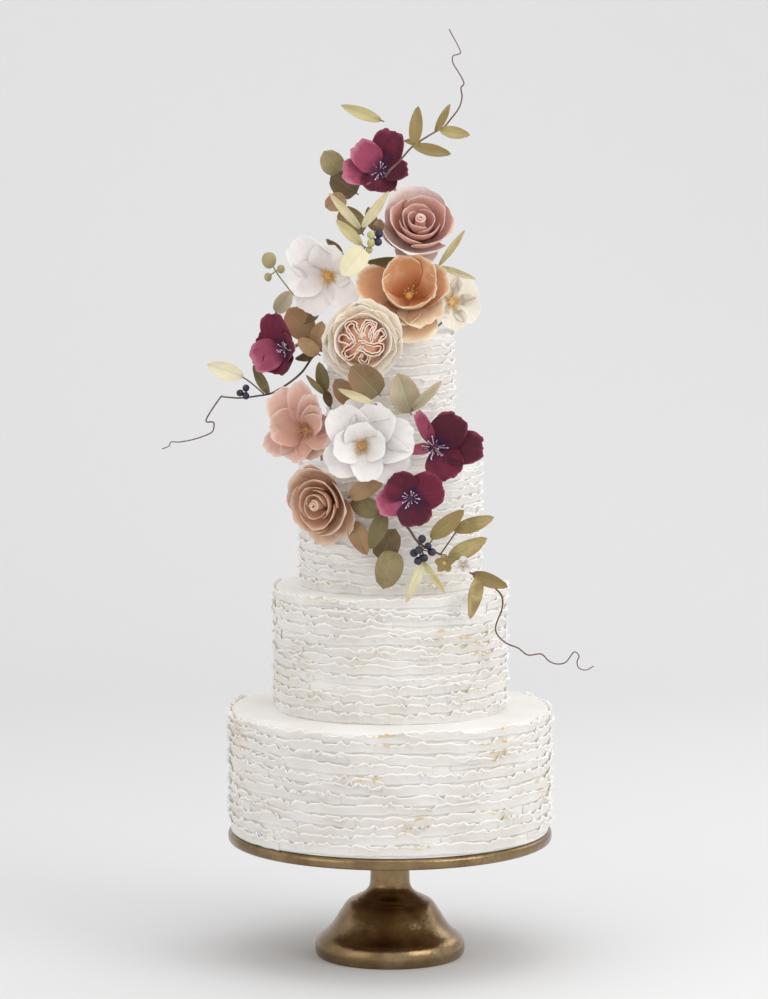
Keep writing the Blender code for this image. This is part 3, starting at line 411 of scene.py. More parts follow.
    plain_finish("brown_twig", (0.10, 0.045, 0.03), (0.17, 0.09, 0.055), 120.0, 0.6)
    plain_finish("green_stem", (0.20, 0.22, 0.09), (0.28, 0.29, 0.13), 120.0, 0.6)
    plain_finish("navy_berry", (0.010, 0.010, 0.030), (0.030, 0.018, 0.045), 150.0, 0.32, 0.0002, 500.0)
    plain_finish("green_berry", (0.40, 0.40, 0.16), (0.52, 0.50, 0.24), 150.0, 0.4, 0.0002, 500.0)
    plain_finish("dark_heart", (0.030, 0.010, 0.045), (0.10, 0.02, 0.06), 400.0, 0.7, 0.0008, 900.0)
    plain_finish("pale_stamen", (0.78, 0.54, 0.60), (0.86, 0.70, 0.72), 300.0, 0.6)
    plain_finish("white_bead", (0.90, 0.84, 0.80), (0.94, 0.90, 0.88), 300.0, 0.6)
    plain_finish("amber_heart", (0.52, 0.26, 0.06), (0.66, 0.38, 0.11), 400.0, 0.7, 0.0008, 900.0)
    plain_finish("tan_stamen", (0.62, 0.44, 0.22), (0.74, 0.56, 0.30), 300.0, 0.6)
    plain_finish("gold_stamen", (0.80, 0.45, 0.10), (0.86, 0.58, 0.20), 300.0, 0.6)
    plain_finish("beige_stamen", (0.72, 0.46, 0.28), (0.82, 0.60, 0.42), 300.0, 0.6)


# Pieces
class Piece:
    """Gathers the parts of one piece, then makes one mesh of them."""

    def __init__(self, name):
        self.name = name
        self.verts = []
        self.uvs = []
        self.shades = []
        self.faces = []
        self.marks = []
        self.finishes = []
        self.count = 0

    def add(self, verts, faces, look, uv=None, shade=0.5):
        verts = np.asarray(verts, float)
        if look not in self.finishes:
            self.finishes.append(look)
        mark = self.finishes.index(look)
        self.verts.append(verts)
        self.uvs.append(np.full((len(verts), 2), 0.5) if uv is None else np.asarray(uv, float))
        self.shades.append(np.full(len(verts), shade))
        self.faces.extend([tuple(i + self.count for i in face) for face in faces])
        self.marks.extend([mark] * len(faces))
        self.count += len(verts)

    def sheet(self, points, thick, u, v, look, shade):
        """Add a thin sheet, with its own across (0 to 1) and along values for its finish."""
        verts, faces = thick_grid(points, thick)
        uv = np.stack([u, v], axis=2).reshape(-1, 2)
        self.add(verts, faces, look, np.concatenate([uv, uv]), shade)

    def take(self, mesh, turn):
        """Add a ready mesh in mm, turned and moved into place."""
        verts = np.empty(len(mesh.vertices) * 3)
        mesh.vertices.foreach_get("co", verts)
        verts = verts.reshape(-1, 3) @ np.array(turn.to_3x3()).T + np.array(turn.translation)
        for mark, look in enumerate(mesh.materials):
            faces = [tuple(p.vertices) for p in mesh.polygons if p.material_index == mark]
            if faces and look:
                used = sorted({i for face in faces for i in face})
                where = {old: new for new, old in enumerate(used)}
                self.add(verts[used], [tuple(where[i] for i in face) for face in faces], look.name)

    def make(self, slot, *nodes, sharp=38.0):
        mesh = bpy.data.meshes.new(self.name)
        mesh.from_pydata((np.concatenate(self.verts) * MM).tolist(), [], self.faces)
        for look in self.finishes:
            mesh.materials.append(finishes[look])
        mesh.polygons.foreach_set("material_index", self.marks)
        mesh.attributes.new("shade", "FLOAT", "POINT").data.foreach_set("value", np.concatenate(self.shades))
        corners = np.empty(len(mesh.loops), int)
        mesh.loops.foreach_get("vertex_index", corners)
        layer = mesh.uv_layers.new(name="sheet")
        layer.data.foreach_set("uv", np.concatenate(self.uvs)[corners].ravel())
        work = bmesh.new()
        work.from_mesh(mesh)
        bmesh.ops.recalc_face_normals(work, faces=work.faces)
        work.to_mesh(mesh)
        work.free()
        mesh.shade_smooth()
        mesh.set_sharp_from_angle(angle=math.radians(sharp))
        return placed(bpy.data.objects.new(self.name, mesh), slot, *nodes)


def placed(obj, slot, *nodes):
    if obj.name not in bpy.context.scene.collection.objects:
        bpy.context.scene.collection.objects.link(obj)
    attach(obj, "root")
    if nodes:
        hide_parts(*nodes)
    return obj


def grid_faces(across, along, close=False):
    """Quads of a grid of (along + 1) rows of (across + 1) points, or of rings when it closes."""
    wide = across if close else across + 1
    faces = []
    for j in range(along):
        for i in range(across):
            k = (i + 1) % wide
            faces.append((j * wide + i, j * wide + k, (j + 1) * wide + k, (j + 1) * wide + i))
    return faces


def sheet_grid(first, across, along):
    """Across values from first to 1 and along values from 0 to 1, for every point of a sheet."""
    u = np.linspace(first, 1, across)[None, :] * np.ones((along, 1))
    v = np.linspace(0, 1, along)[:, None] * np.ones((1, across))
    return u, v


def thick_grid(points, thick):
    """Both faces and the rim of a sheet, from its middle points (rows, columns, 3)."""
    rows, columns = points.shape[:2]
    along = np.gradient(points, axis=0)
    across = np.gradient(points, axis=1)
    normal = np.cross(across, along)
    size = np.linalg.norm(normal, axis=2, keepdims=True)
    normal = normal / np.maximum(size, 1e-9)
    half = np.asarray(thick) / 2
    half = half[..., None] if half.ndim == 2 else half
    verts = np.concatenate([(points + normal * half).reshape(-1, 3), (points - normal * half).reshape(-1, 3)])
    front = grid_faces(columns - 1, rows - 1)
    total = rows * columns
    faces = list(front) + [tuple(i + total for i in reversed(face)) for face in front]
    rim = [j * columns for j in range(rows)] + [(rows - 1) * columns + i for i in range(1, columns)]
    rim += [j * columns + columns - 1 for j in range(rows - 2, -1, -1)] + list(range(columns - 2, 0, -1))
    for a, b in zip(rim, rim[1:] + rim[:1]):
        faces.append((a, b, b + total, a + total))
    return verts, faces


def turned(profile, steps):
    """Spin a profile (radius, height), from the middle of the top down the outer side to the middle below."""
    inner = profile[1:-1]
    verts = [(0, 0, profile[0][1])]
    for r, z in inner:
        verts += [(r * math.cos(math.tau * i / steps), r * math.sin(math.tau * i / steps), z)
                  for i in range(steps)]
    verts.append((0, 0, profile[-1][1]))
    faces = [(0, 1 + i, 1 + (i + 1) % steps) for i in range(steps)]
    for j in range(len(inner) - 1):
        for i in range(steps):
            k = (i + 1) % steps
            a, b = 1 + j * steps, 1 + (j + 1) * steps
            faces.append((a + i, b + i, b + k, a + k))
    last = len(verts) - 1
    base = 1 + (len(inner) - 1) * steps
    faces += [(base + i, last, base + (i + 1) % steps) for i in range(steps)]
    return verts, faces


def ball(middle, size, segments=12, rings=8, dent=0.0, axis=(0, 0, 1)):
    """A round body, slightly dented at the end that points along the axis."""
    tilt = np.array(Vector(axis).normalized().to_track_quat("Z", "Y").to_matrix())
    arc = [math.pi * j / rings for j in range(1, rings)]
    profile = [(math.sin(a), math.cos(a) - dent * max(0.0, math.cos(a)) ** 8) for a in arc]
    verts, faces = turned([(0, 1 - dent), *profile, (0, -1)], segments)
    return (np.array(verts) * np.asarray(size)) @ tilt.T + np.asarray(middle), faces


def smooth_path(points, steps=5):
    """A smooth line through the points, by Catmull and Rom's rule."""
    pts = [np.asarray(p, float) for p in points]
    pts = [2 * pts[0] - pts[1]] + pts + [2 * pts[-1] - pts[-2]]
    made = []
    for a, b, c, d in zip(pts, pts[1:], pts[2:], pts[3:]):
        for k in range(steps):
            t = k / steps
            made.append(0.5 * (2 * b + (c - a) * t + (2 * a - 5 * b + 4 * c - d) * t * t
                               + (3 * b - a - 3 * c + d) * t ** 3))
    made.append(pts[-2])
    return made


def wire(path, radii, sides=8):
    """A round wire through the points, closed at both ends."""
    path = [Vector(p) for p in path]
    if not isinstance(radii, (list, tuple, np.ndarray)):
        radii = [radii] * len(path)
    heading = (path[1] - path[0]).normalized()
    spare = Vector((0, 0, 1)) if abs(heading.z) < 0.8 else Vector((1, 0, 0))
    normal = heading.cross(spare).normalized()
    verts = []
    for i, point in enumerate(path):
        if 0 < i < len(path) - 1:
            heading = (path[i + 1] - path[i - 1]).normalized()
        elif i:
            heading = (path[i] - path[i - 1]).normalized()
        normal = (normal - heading * normal.dot(heading)).normalized()
        second = heading.cross(normal)
        for k in range(sides):
            a = math.tau * k / sides
            verts.append(point + (normal * math.cos(a) + second * math.sin(a)) * float(radii[i]))
    faces = grid_faces(sides, len(path) - 1, close=True)
    faces.append(tuple(reversed(range(sides))))
    faces.append(tuple(range((len(path) - 1) * sides, len(path) * sides)))
    return verts, faces


# The brass stand
def build_stand():
    plate = [(0, 129.7), (150, 129.7), (157.5, 129.6), (160.6, 129.1), (162.2, 128.0), (162.9, 126.4),
             (163, 124.5), (163, 122.6), (162.7, 120.9), (161.9, 119.5), (160.2, 118.5), (157.5, 118),
             (60, 118), (0, 118)]
    foot = [(0, 117.7), (46, 117.7), (46.4, 116.6), (46, 113.8), (44, 112.6), (38, 111.4), (31, 109.2),
            (25.5, 105.6), (22.2, 101.6), (20.6, 96.5), (20, 91), (19.8, 84), (20, 76), (20.6, 72),
            (22.2, 68.2), (25, 65.2), (28.4, 62.8), (32, 60.8), (34.6, 59.8), (35.4, 58.6), (38, 57.6),
            (41, 56.4), (44.2, 53.6), (46.8, 50), (49, 46.4), (51.4, 43), (54.4, 37.6), (58.2, 32),
            (62.5, 27), (66.8, 23.4), (69.5, 21.6), (70.6, 20.4), (72.6, 18.6), (74.4, 15.4),
            (75.4, 11), (75.5, 6.5), (74.9, 3), (73.4, 0.6), (72, 0), (0, 0)]
    for part, profile, steps in (("plate", plate, 160), ("foot", foot, 128)):
        piece = Piece("turned_" + part)
        piece.add(*turned(profile, steps), "antique_brass")
        piece.make("brass", "stand_" + part, sharp=50)


# Icing drums and frills
def frill_tree():
    """Rows of thin strips, each standing on its lower edge and leaning out to a ruffled lip."""
    tree, b, given = new_tree("frill_rows", "Frills", Radius="Float", Low="Float", Pitch="Float",
                              Tall="Float", Lean="Float", Ruffle="Float", Pleats="Float", Rows="Int",
                              Strips="Int", Steps="Int", Seed="Int", Look="Material")
    radius, low, pitch, tall = (b.val(given[n]) for n in ("Radius", "Low", "Pitch", "Tall"))
    lean, ruffle, pleats = (b.val(given[n]) for n in ("Lean", "Ruffle", "Pleats"))
    strips = b.val(given["Strips"])
    count = b.val(given["Rows"]) * strips
    line = b.node("GeometryNodeMeshLine", None, {"Count": count}).outputs[0]
    strip = b.node("GeometryNodeMeshGrid", None, {"Size X": 1.0, "Size Y": 1.0, "Vertices X": given["Steps"],
                                                  "Vertices Y": 6}).outputs
    sheet = b.node("GeometryNodeStoreNamedAttribute", {"data_type": "FLOAT2", "domain": "CORNER"},
                   {"Geometry": strip[0], "Name": "sheet", "Value": strip[1]}).outputs[0]
    laid = b.node("GeometryNodeInstanceOnPoints", None, {"Points": line, "Instance": sheet}).outputs[0]
    index = b.node("GeometryNodeInputIndex").outputs[0]
    laid = b.node("GeometryNodeStoreNamedAttribute", {"data_type": "FLOAT", "domain": "INSTANCE"},
                  {"Geometry": laid, "Name": "strip", "Value": index}).outputs[0]
    laid = b.node("GeometryNodeRealizeInstances", None, {0: laid}).outputs[0]
    number = b.val(b.node("GeometryNodeInputNamedAttribute", {"data_type": "FLOAT"},
                          {"Name": "strip"}).outputs[0])
    place = b.node("GeometryNodeInputPosition").outputs[0]
    split = b.node("ShaderNodeSeparateXYZ", None, {0: place}).outputs
    # The strips lie one above another, so x and y alone give a point's place on its own strip
    u = b.val(split[0]) + 0.5
    v = b.val(split[1]) + 0.5
    row = ((number + 0.5) / strips).whole()
    turn = number - row * strips
    b.number = number
    step = (strips ** -1.0) * math.tau
    span = step * b.chance(1.06, 1.3, 1)
    angle = step * (turn + b.chance(-0.2, 0.2, 2)) + row * 2.4 + (u - 0.5) * span
    round_x = angle.cos() * radius
    round_y = angle.sin() * radius
    where = b.point(round_x, round_y, number * 23.7)
    along = angle * radius
    broad = b.grain(where, 0.030, 1.0) - 0.5
    drift = b.grain(where, 0.040, 1.0) * 22.0
    bunch = b.step(b.grain(where, 0.024, 0.0), 0.40, 0.66) * 1.15 + 0.45
    wave = (along * 0.36 + drift).sin()
    crimp = (along * 0.80 + drift * 1.9 + wave * 0.8).sin()
    fray = b.grain(where, 0.42, 1.0) - 0.5
    crease = (1 - b.step((along * 0.21 + fray * 1.5 + broad * 4.0).sin().size(), 0.0, 0.22)) * pleats
    ends = b.step(u, 0.0, 0.12) * (1 - b.step(u, 0.88, 1.0))
    flare = (v ** 2.4) * (ends * 0.6 + 0.2)
    loose = (v ** 2.6) * ruffle * bunch * (ends * 0.8 + 0.2)
    sway = (along * 0.085 + drift * 0.6).sin()
    out = radius - lean + flare * lean + loose * (wave * 1.1 + crimp * 0.55 + fray * 0.8 + 0.5)
    out = out + broad * 1.4 + (u - 0.5) * 0.9 + crease * 0.9 + b.step(v, 0.7, 1.0) * bunch * ends * 1.3
    lip = loose * (crimp * 0.7 - wave * 1.1 + fray * 1.0)
    up = low + row * pitch + b.chance(-1.4, 1.4, 3) + (u - 0.5) * b.chance(-7.0, 7.0, 4)
    up = up + v * tall * (b.chance(0.96, 1.12, 5) + broad * 0.5) * (ends * 0.3 + 0.7) + lip
    up = up + sway * (v * 0.8 + 0.6)
    out = out.join("MINIMUM", out, radius + LIP_LIMIT)
    bent = b.point(angle.cos() * out * MM, angle.sin() * out * MM, up * MM)
    done = b.node("GeometryNodeSetPosition", None, {"Geometry": laid, "Position": bent}).outputs[0]
    done = b.node("GeometryNodeSetShadeSmooth", None, {"Geometry": done}).outputs[0]
    done = b.node("GeometryNodeSetMaterial", None, {"Geometry": done, "Material": given["Look"]}).outputs[0]
    b.node("NodeGroupOutput", None, {0: done})
    return tree


def grown(name, tree, inputs, thick=0.0):
    """Run a Geometry Nodes tree with these inputs and keep its result as a plain mesh."""
    start = bpy.data.meshes.new(name)
    obj = bpy.data.objects.new(name, start)
    bpy.context.scene.collection.objects.link(obj)
    grow = obj.modifiers.new("grow", "NODES")
    grow.node_group = tree
    keys = {item.name: item.identifier for item in tree.interface.items_tree if item.in_out == "INPUT"}
    for key, value in inputs.items():
        grow[keys[key]] = value
    if thick:
        shell = obj.modifiers.new("shell", "SOLIDIFY")
        shell.thickness = thick
        shell.offset = 0.0
    bpy.context.view_layer.update()
    ready = obj.evaluated_get(bpy.context.evaluated_depsgraph_get())
    mesh = bpy.data.meshes.new_from_object(ready)
    mesh.name = name
    obj.modifiers.clear()
    obj.data = mesh
    return obj


def build_tiers():
    tree = frill_tree()
    for number, (name, radius, low, high, rows, strips, lean, ruffle, pleats) in enumerate(TIERS):
        core = radius - lean - 0.4
        drum = Piece("icing_" + name)
        drum.add(*turned([(0, high), (core * 0.6, high), (core - 5, high - 0.1), (core - 2.4, high - 0.7),
                          (core - 0.9, high - 2.0), (core - 0.4, high - 4.0), (core - 0.4, low + 20),
                          (core - 0.4, low), (0, low)], 128), "ivory_icing")
        drum.make("icing", name, sharp=50)
        pitch = (high - low - 2.0) / rows
        frills = grown("frills_" + name, tree, {
            "Radius": radius, "Low": low + 0.6, "Pitch": pitch, "Tall": pitch * 1.02, "Lean": lean,
            "Ruffle": ruffle, "Pleats": pleats, "Rows": rows, "Strips": strips,
            "Steps": int(math.tau * radius / strips / 1.6), "Seed": 11 + number * 7,
            "Look": finishes["wafer_frill"]}, FRILL_THICK * MM)
        placed(frills, "icing", name)


# Petals
def petal(turn, length, width, opening, cup, **own):
    return {**PETAL, "round": turn, "length": length, "width": width, "open": opening, "cup": cup, **own}


def petals_of(shape, *rows):
    """Petals of one shape: turn, length, width, slope at base and rim and cup; then what differs."""
    names = ("lift", "ruffle", "phase", "curl", "look", "notch")
    return [petal(*row[:3], row[3:5], row[5], **dict(zip(names, row[6:])), **shape) for row in rows]


def petal_points(p, across=26, along=24, crimp=1.0):
    """Middle points of one petal, in the flower's own frame: u runs across it, v from base to rim."""
    u, v = sheet_grid(-1, across + 1, along + 1)
    seed = p["round"] * 0.37 + p["length"]
    drop = p["drop"] * np.abs(u) ** p["tip"] + 0.05 * u ** 8
    notch = p["notch"] * np.exp(-(u / 0.3) ** 2)
    uneven = 0.018 * np.sin(5.3 * u + seed) + 0.012 * np.sin(11.7 * u + seed * 2)
    jag = p["teeth"] * (np.abs(np.sin(6.0 * u + seed)) + 0.6 * np.abs(np.sin(14.0 * u + seed * 2)) - 0.7)
    reach = np.maximum(0.0, v * (1.0 - drop - notch + uneven + jag * v ** 3))
    x = np.full_like(u, p["start"])
    z = np.full_like(u, p["lift"])
    steps = 14
    slope = np.full_like(u, p["open"][0])
    for i in range(steps):
        t = (i + 0.5) / steps * reach
        slope = p["open"][0] + (p["open"][1] - p["open"][0]) * t
        slope = slope + p["curl"] * np.maximum(0.0, (t - p["curl_from"]) / (1 - p["curl_from"])) ** 1.5
        ds = reach / steps * p["length"]
        x = x + np.sin(np.radians(slope)) * ds
        z = z + np.cos(np.radians(slope)) * ds
    lean = np.radians(slope)
    peak = 0.6
    grow = np.sin(np.minimum(v / peak, 1.0) * math.pi / 2)
    half = p["width"] / 2 * (p["waist"] + (1 - p["waist"]) * grow)
    half = half * (1.0 - p["taper"] * np.maximum(0.0, (v - peak) / (1 - peak)) ** 2)
    bow = u * half / p["cup"]
    side = p["cup"] * np.sin(bow)
    lift = p["cup"] * (1 - np.cos(bow))
    lift = lift + p["ruffle"] * v * v * np.sin(RUFFLE_WAVES * u + p["phase"]) * np.abs(u) ** 0.5
    fine = np.sin(13.0 * u + seed) * 0.5 + np.sin(21.0 * u + 3 * v + seed * 3) * 0.3
    lift = lift + crimp * (0.3 + 0.25 * p["ruffle"]) * v ** 4 * fine
    lift = lift - 0.3 * np.sin(u * 9 + seed) * v * (1 - v)
    x = x - np.cos(lean) * lift
    z = z + np.sin(lean) * lift
    turn = math.radians(p["round"])
    return np.stack([x * math.cos(turn) - side * math.sin(turn),
                     x * math.sin(turn) + side * math.cos(turn), z], axis=2), u, v


def cup_ring(count, radius, slopes, wrap, first, rng, **kw):
    """Petals standing round an axis, wrapped to a cup of this radius over so many degrees each."""
    low, high = math.radians(slopes[0]), math.radians(slopes[1])
    length = radius * (low - high) / (math.cos(high) - math.cos(low))
    made = []
    for i in range(count):
        turn = first + 360 * i / count + rng.uniform(-8, 8)
        made.append(petal(turn, length * rng.uniform(0.96, 1.04), radius * math.radians(wrap), slopes,
                          cup=radius * 1.02, phase=rng.uniform(0, 6), **kw))
    return made


def rolled_bud(size, turns=2.2, columns=110, rows=16):
    """A sheet rolled up from its middle, a little higher inside, its rim turned out."""
    u, v = sheet_grid(0, columns, rows)
    angle = u * turns * math.tau + 0.7
    radius = (0.035 + 0.15 * u) * size * (1.0 - 0.30 * v ** 2 + 0.16 * np.maximum(0, v - 0.8) / 0.2)
    high = (0.2 + 0.58 * v + 0.07 * (1 - u) * v + 0.012 * np.sin(angle * 1.7)) * size
    points = np.stack([np.cos(angle) * radius, np.sin(angle) * radius, high], axis=2)
    return points, u, v


def rose(size, seed, looks, count=9, opened=0.0, first=0.0):
    """Petals wrapped one after the other round a rolled bud, wider and more open towards the outside."""
    rng = np.random.default_rng(seed)
    k = size / 35.5
    made = []
    for i in range(count):
        f = i / (count - 1)
        made += cup_ring(1, (9.0 + 25.0 * f ** 1.2) * k, (54 + 38 * f ** 0.6, -8 + (18 + opened) * f ** 1.4),
                         220 - 104 * f ** 0.8, first + i * ROSE_TURN, rng, start=1.5, lift=(5.0 - 7 * f) * k,
                         waist=0.66 - 0.1 * f, drop=0.13 + 0.05 * f, tip=2.2, taper=0.12,
                         curl=22 + 50 * f ** 0.7, curl_from=0.91 - 0.05 * f, ruffle=0.25,
                         look=looks[0] if i < count - 2 else looks[1])
    return made


def fold_ribbons(scale, low, high):
    """Folds packed in the bowl: ribbons that stand on edge, each doubled back on itself, one in another."""
    made = []
    t = np.linspace(-1, 1, 56)
    v = np.linspace(0, 1, 9)[:, None]
    for number, (x0, y0, aim, length, wide, nests) in enumerate((
            (-8.0, 9.0, 112, 19.0, 9.5, 2), (4.5, 9.5, 74, 19.0, 12.0, 3), (15.0, 4.5, 42, 13.0, 8.0, 2),
            (6.5, -6.0, -12, 23.0, 10.5, 2), (-9.5, -7.5, 222, 18.0, 11.0, 2),
            (-15.5, 1.5, 168, 10.0, 6.5, 1), (1.5, -15.5, 268, 9.0, 9.0, 2))):
        for nest in range(nests):
            half = wide / 2 * (1 - nest / (nests + 0.2))
            turn = np.sign(t) * np.clip(np.abs(t) / 0.4, 0, 1) * math.pi / 2
            back = np.clip((np.abs(t) - 0.4) / 0.6, 0, 1)
            along = np.cos(turn) * half - back * (length - wide / 2) * (1 - 0.12 * nest) + (length - wide) / 2
            across = np.sin(turn) * half * (1 - 0.3 * back ** 2)
            a = math.radians(aim)
            x = x0 + along * math.cos(a) - across * math.sin(a)
            y = y0 + along * math.sin(a) + across * math.cos(a)
            x, y = (scale * (x + 0.9 * np.sin(0.42 * y + number) + 0.25 * np.sin(1.3 * y + nest)),
                    scale * (y + 0.9 * np.sin(0.38 * x + 2) + 0.25 * np.sin(1.2 * x + nest)))
            flare = 1 + 0.05 * v ** 2
            dome = high - 0.010 * (x ** 2 + y ** 2) - 0.6 * nest
            z = low + v * (dome - low)[None, :] + 0.4 * v * np.sin(t * 9 + nest + number)[None, :]
            points = np.stack([x[None, :] * flare, y[None, :] * flare, z], axis=2)
            made.append((points, (t / 2 + 0.5)[None, :] * np.ones_like(v), v * np.ones((1, len(t)))))
    return made


def frame_of(yaw, pitch):
    """Across, up and outward directions of a flower turned to its right and tipped up, in degrees."""
    a, b = math.radians(yaw), math.radians(pitch)
    out = np.array((math.sin(a) * math.cos(b), -math.cos(a) * math.cos(b), math.sin(b)))
    up = np.array((0, 0, 1.0)) - out * out[2]
    up = up / np.linalg.norm(up)
    return np.stack([np.cross(up, out), up, out])


def stamen_tree():
    """A tuft of fine curved threads, each with a small bead at its tip."""
    tree, b, given = new_tree("stamen_tuft", "Tuft", Count="Int", Length="Float", Spread="Float",
                              Bead="Float", Thread="Float", Start="Float", Seed="Int", Thread_Look="Material",
                              Bead_Look="Material")
    length = b.val(given["Length"])
    tip = b.point(length * 0.45, 0.0, length * 0.85)
    bend = b.point(length * 0.02, 0.0, length * 0.5)
    path = b.node("GeometryNodeCurveQuadraticBezier", None,
                  {"Resolution": 4, "Start": (0.0, 0.0, 0.0), "Middle": bend, "End": tip}).outputs[0]
    ring = b.node("GeometryNodeCurvePrimitiveCircle", None,
                  {"Resolution": 3, "Radius": given["Thread"]}).outputs[0]
    thread = b.node("GeometryNodeCurveToMesh", None, {"Curve": path, "Profile Curve": ring,
                                                      "Fill Caps": True}).outputs[0]
    thread = b.node("GeometryNodeSetMaterial", None, {"Geometry": thread,
                                                      "Material": given["Thread Look"]}).outputs[0]
    bead = b.node("GeometryNodeMeshUVSphere", None, {"Segments": 5, "Rings": 4,
                                                     "Radius": given["Bead"]}).outputs[0]
    bead = b.node("GeometryNodeTransform", None, {"Geometry": bead, "Translation": tip,
                                                  "Scale": (1.0, 1.0, 1.5)}).outputs[0]
    bead = b.node("GeometryNodeSetMaterial", None, {"Geometry": bead,
                                                    "Material": given["Bead Look"]}).outputs[0]
    one = b.node("GeometryNodeJoinGeometry")
    b.feed(one.inputs[0], thread)
    b.feed(one.inputs[0], bead)
    b.number = b.node("GeometryNodeInputIndex").outputs[0]
    far = b.chance(0.0, 1.0, 1) ** 0.6
    round_turn = b.val(b.number) * THREAD_TURN + b.chance(-0.2, 0.2, 2)
    start = b.val(given["Start"])
    foot = b.point(round_turn.cos() * far * start, round_turn.sin() * far * start, (1 - far) * start * 0.5)
    dots = b.node("GeometryNodePoints", None, {"Count": given["Count"], "Position": foot}).outputs[0]
    tilt = far * b.val(given["Spread"]) - 0.3 + b.chance(-0.12, 0.12, 3)
    lean = b.point(0.0, tilt, round_turn)
    tuft = b.node("GeometryNodeInstanceOnPoints", None,
                  {"Points": dots, "Instance": one.outputs[0], "Rotation": lean,
                   "Scale": b.chance(0.7, 1.1, 4)}).outputs[0]
    tuft = b.node("GeometryNodeRealizeInstances", None, {0: tuft}).outputs[0]
    b.node("NodeGroupOutput", None, {0: tuft})
    return tree


def flower(name, place, facing, petals, heart, stem, look, slot, tufts=(), heart_look="green_stem",
           across=26, along=24, crimp=1.0, sheets=()):
    """Petals round a heart, tufts of stamens, a seat and a wire stem."""
    piece = Piece("sugar_" + name)
    middle = spot(*place)
    turn = frame_of(*facing)
    rng = np.random.default_rng(len(name) * 31 + len(petals))

    def to_world(points):
        return np.asarray(points) @ turn + middle

    for p in petals:
        points, u, v = petal_points(p, across, along, crimp)
        piece.sheet(to_world(points), PETAL_THICK * (1.15 - 0.5 * v), u / 2 + 0.5, v, p["look"] or look,
                    rng.uniform(0, 1))
    for (points, u, v), sheet_look in sheets:
        piece.sheet(to_world(points), SHEET_THICK, u, v, sheet_look, rng.uniform(0, 1))
    verts, faces = ball((0, 0, 0), (heart[0], heart[0], heart[1]), 20, 12)
    piece.add(to_world(verts), faces, heart_look)
    ends = [to_world((0, 0, 0)), to_world((0, 0, -7))] + [np.array(s, float) for s in stem]
    piece.add(*wire(ends, [3.5, 1.8] + [1.3] * len(stem), 10), "green_stem")
    spin = Matrix([(*row, shift) for row, shift in zip(turn.T, middle)] + [(0, 0, 0, 1)])
    for number, (count, length, spread, bead, thread, start, thread_look, bead_look) in enumerate(tufts):
        tuft = grown(name + "_tuft", STAMENS, {
            "Count": count, "Length": length, "Spread": spread, "Bead": bead, "Thread": thread,
            "Start": start, "Seed": number + len(name), "Thread Look": finishes[thread_look],
            "Bead Look": finishes[bead_look]})
        piece.take(tuft.data, spin)
        bpy.data.objects.remove(tuft, do_unlink=True)
    return piece.make(slot, name)


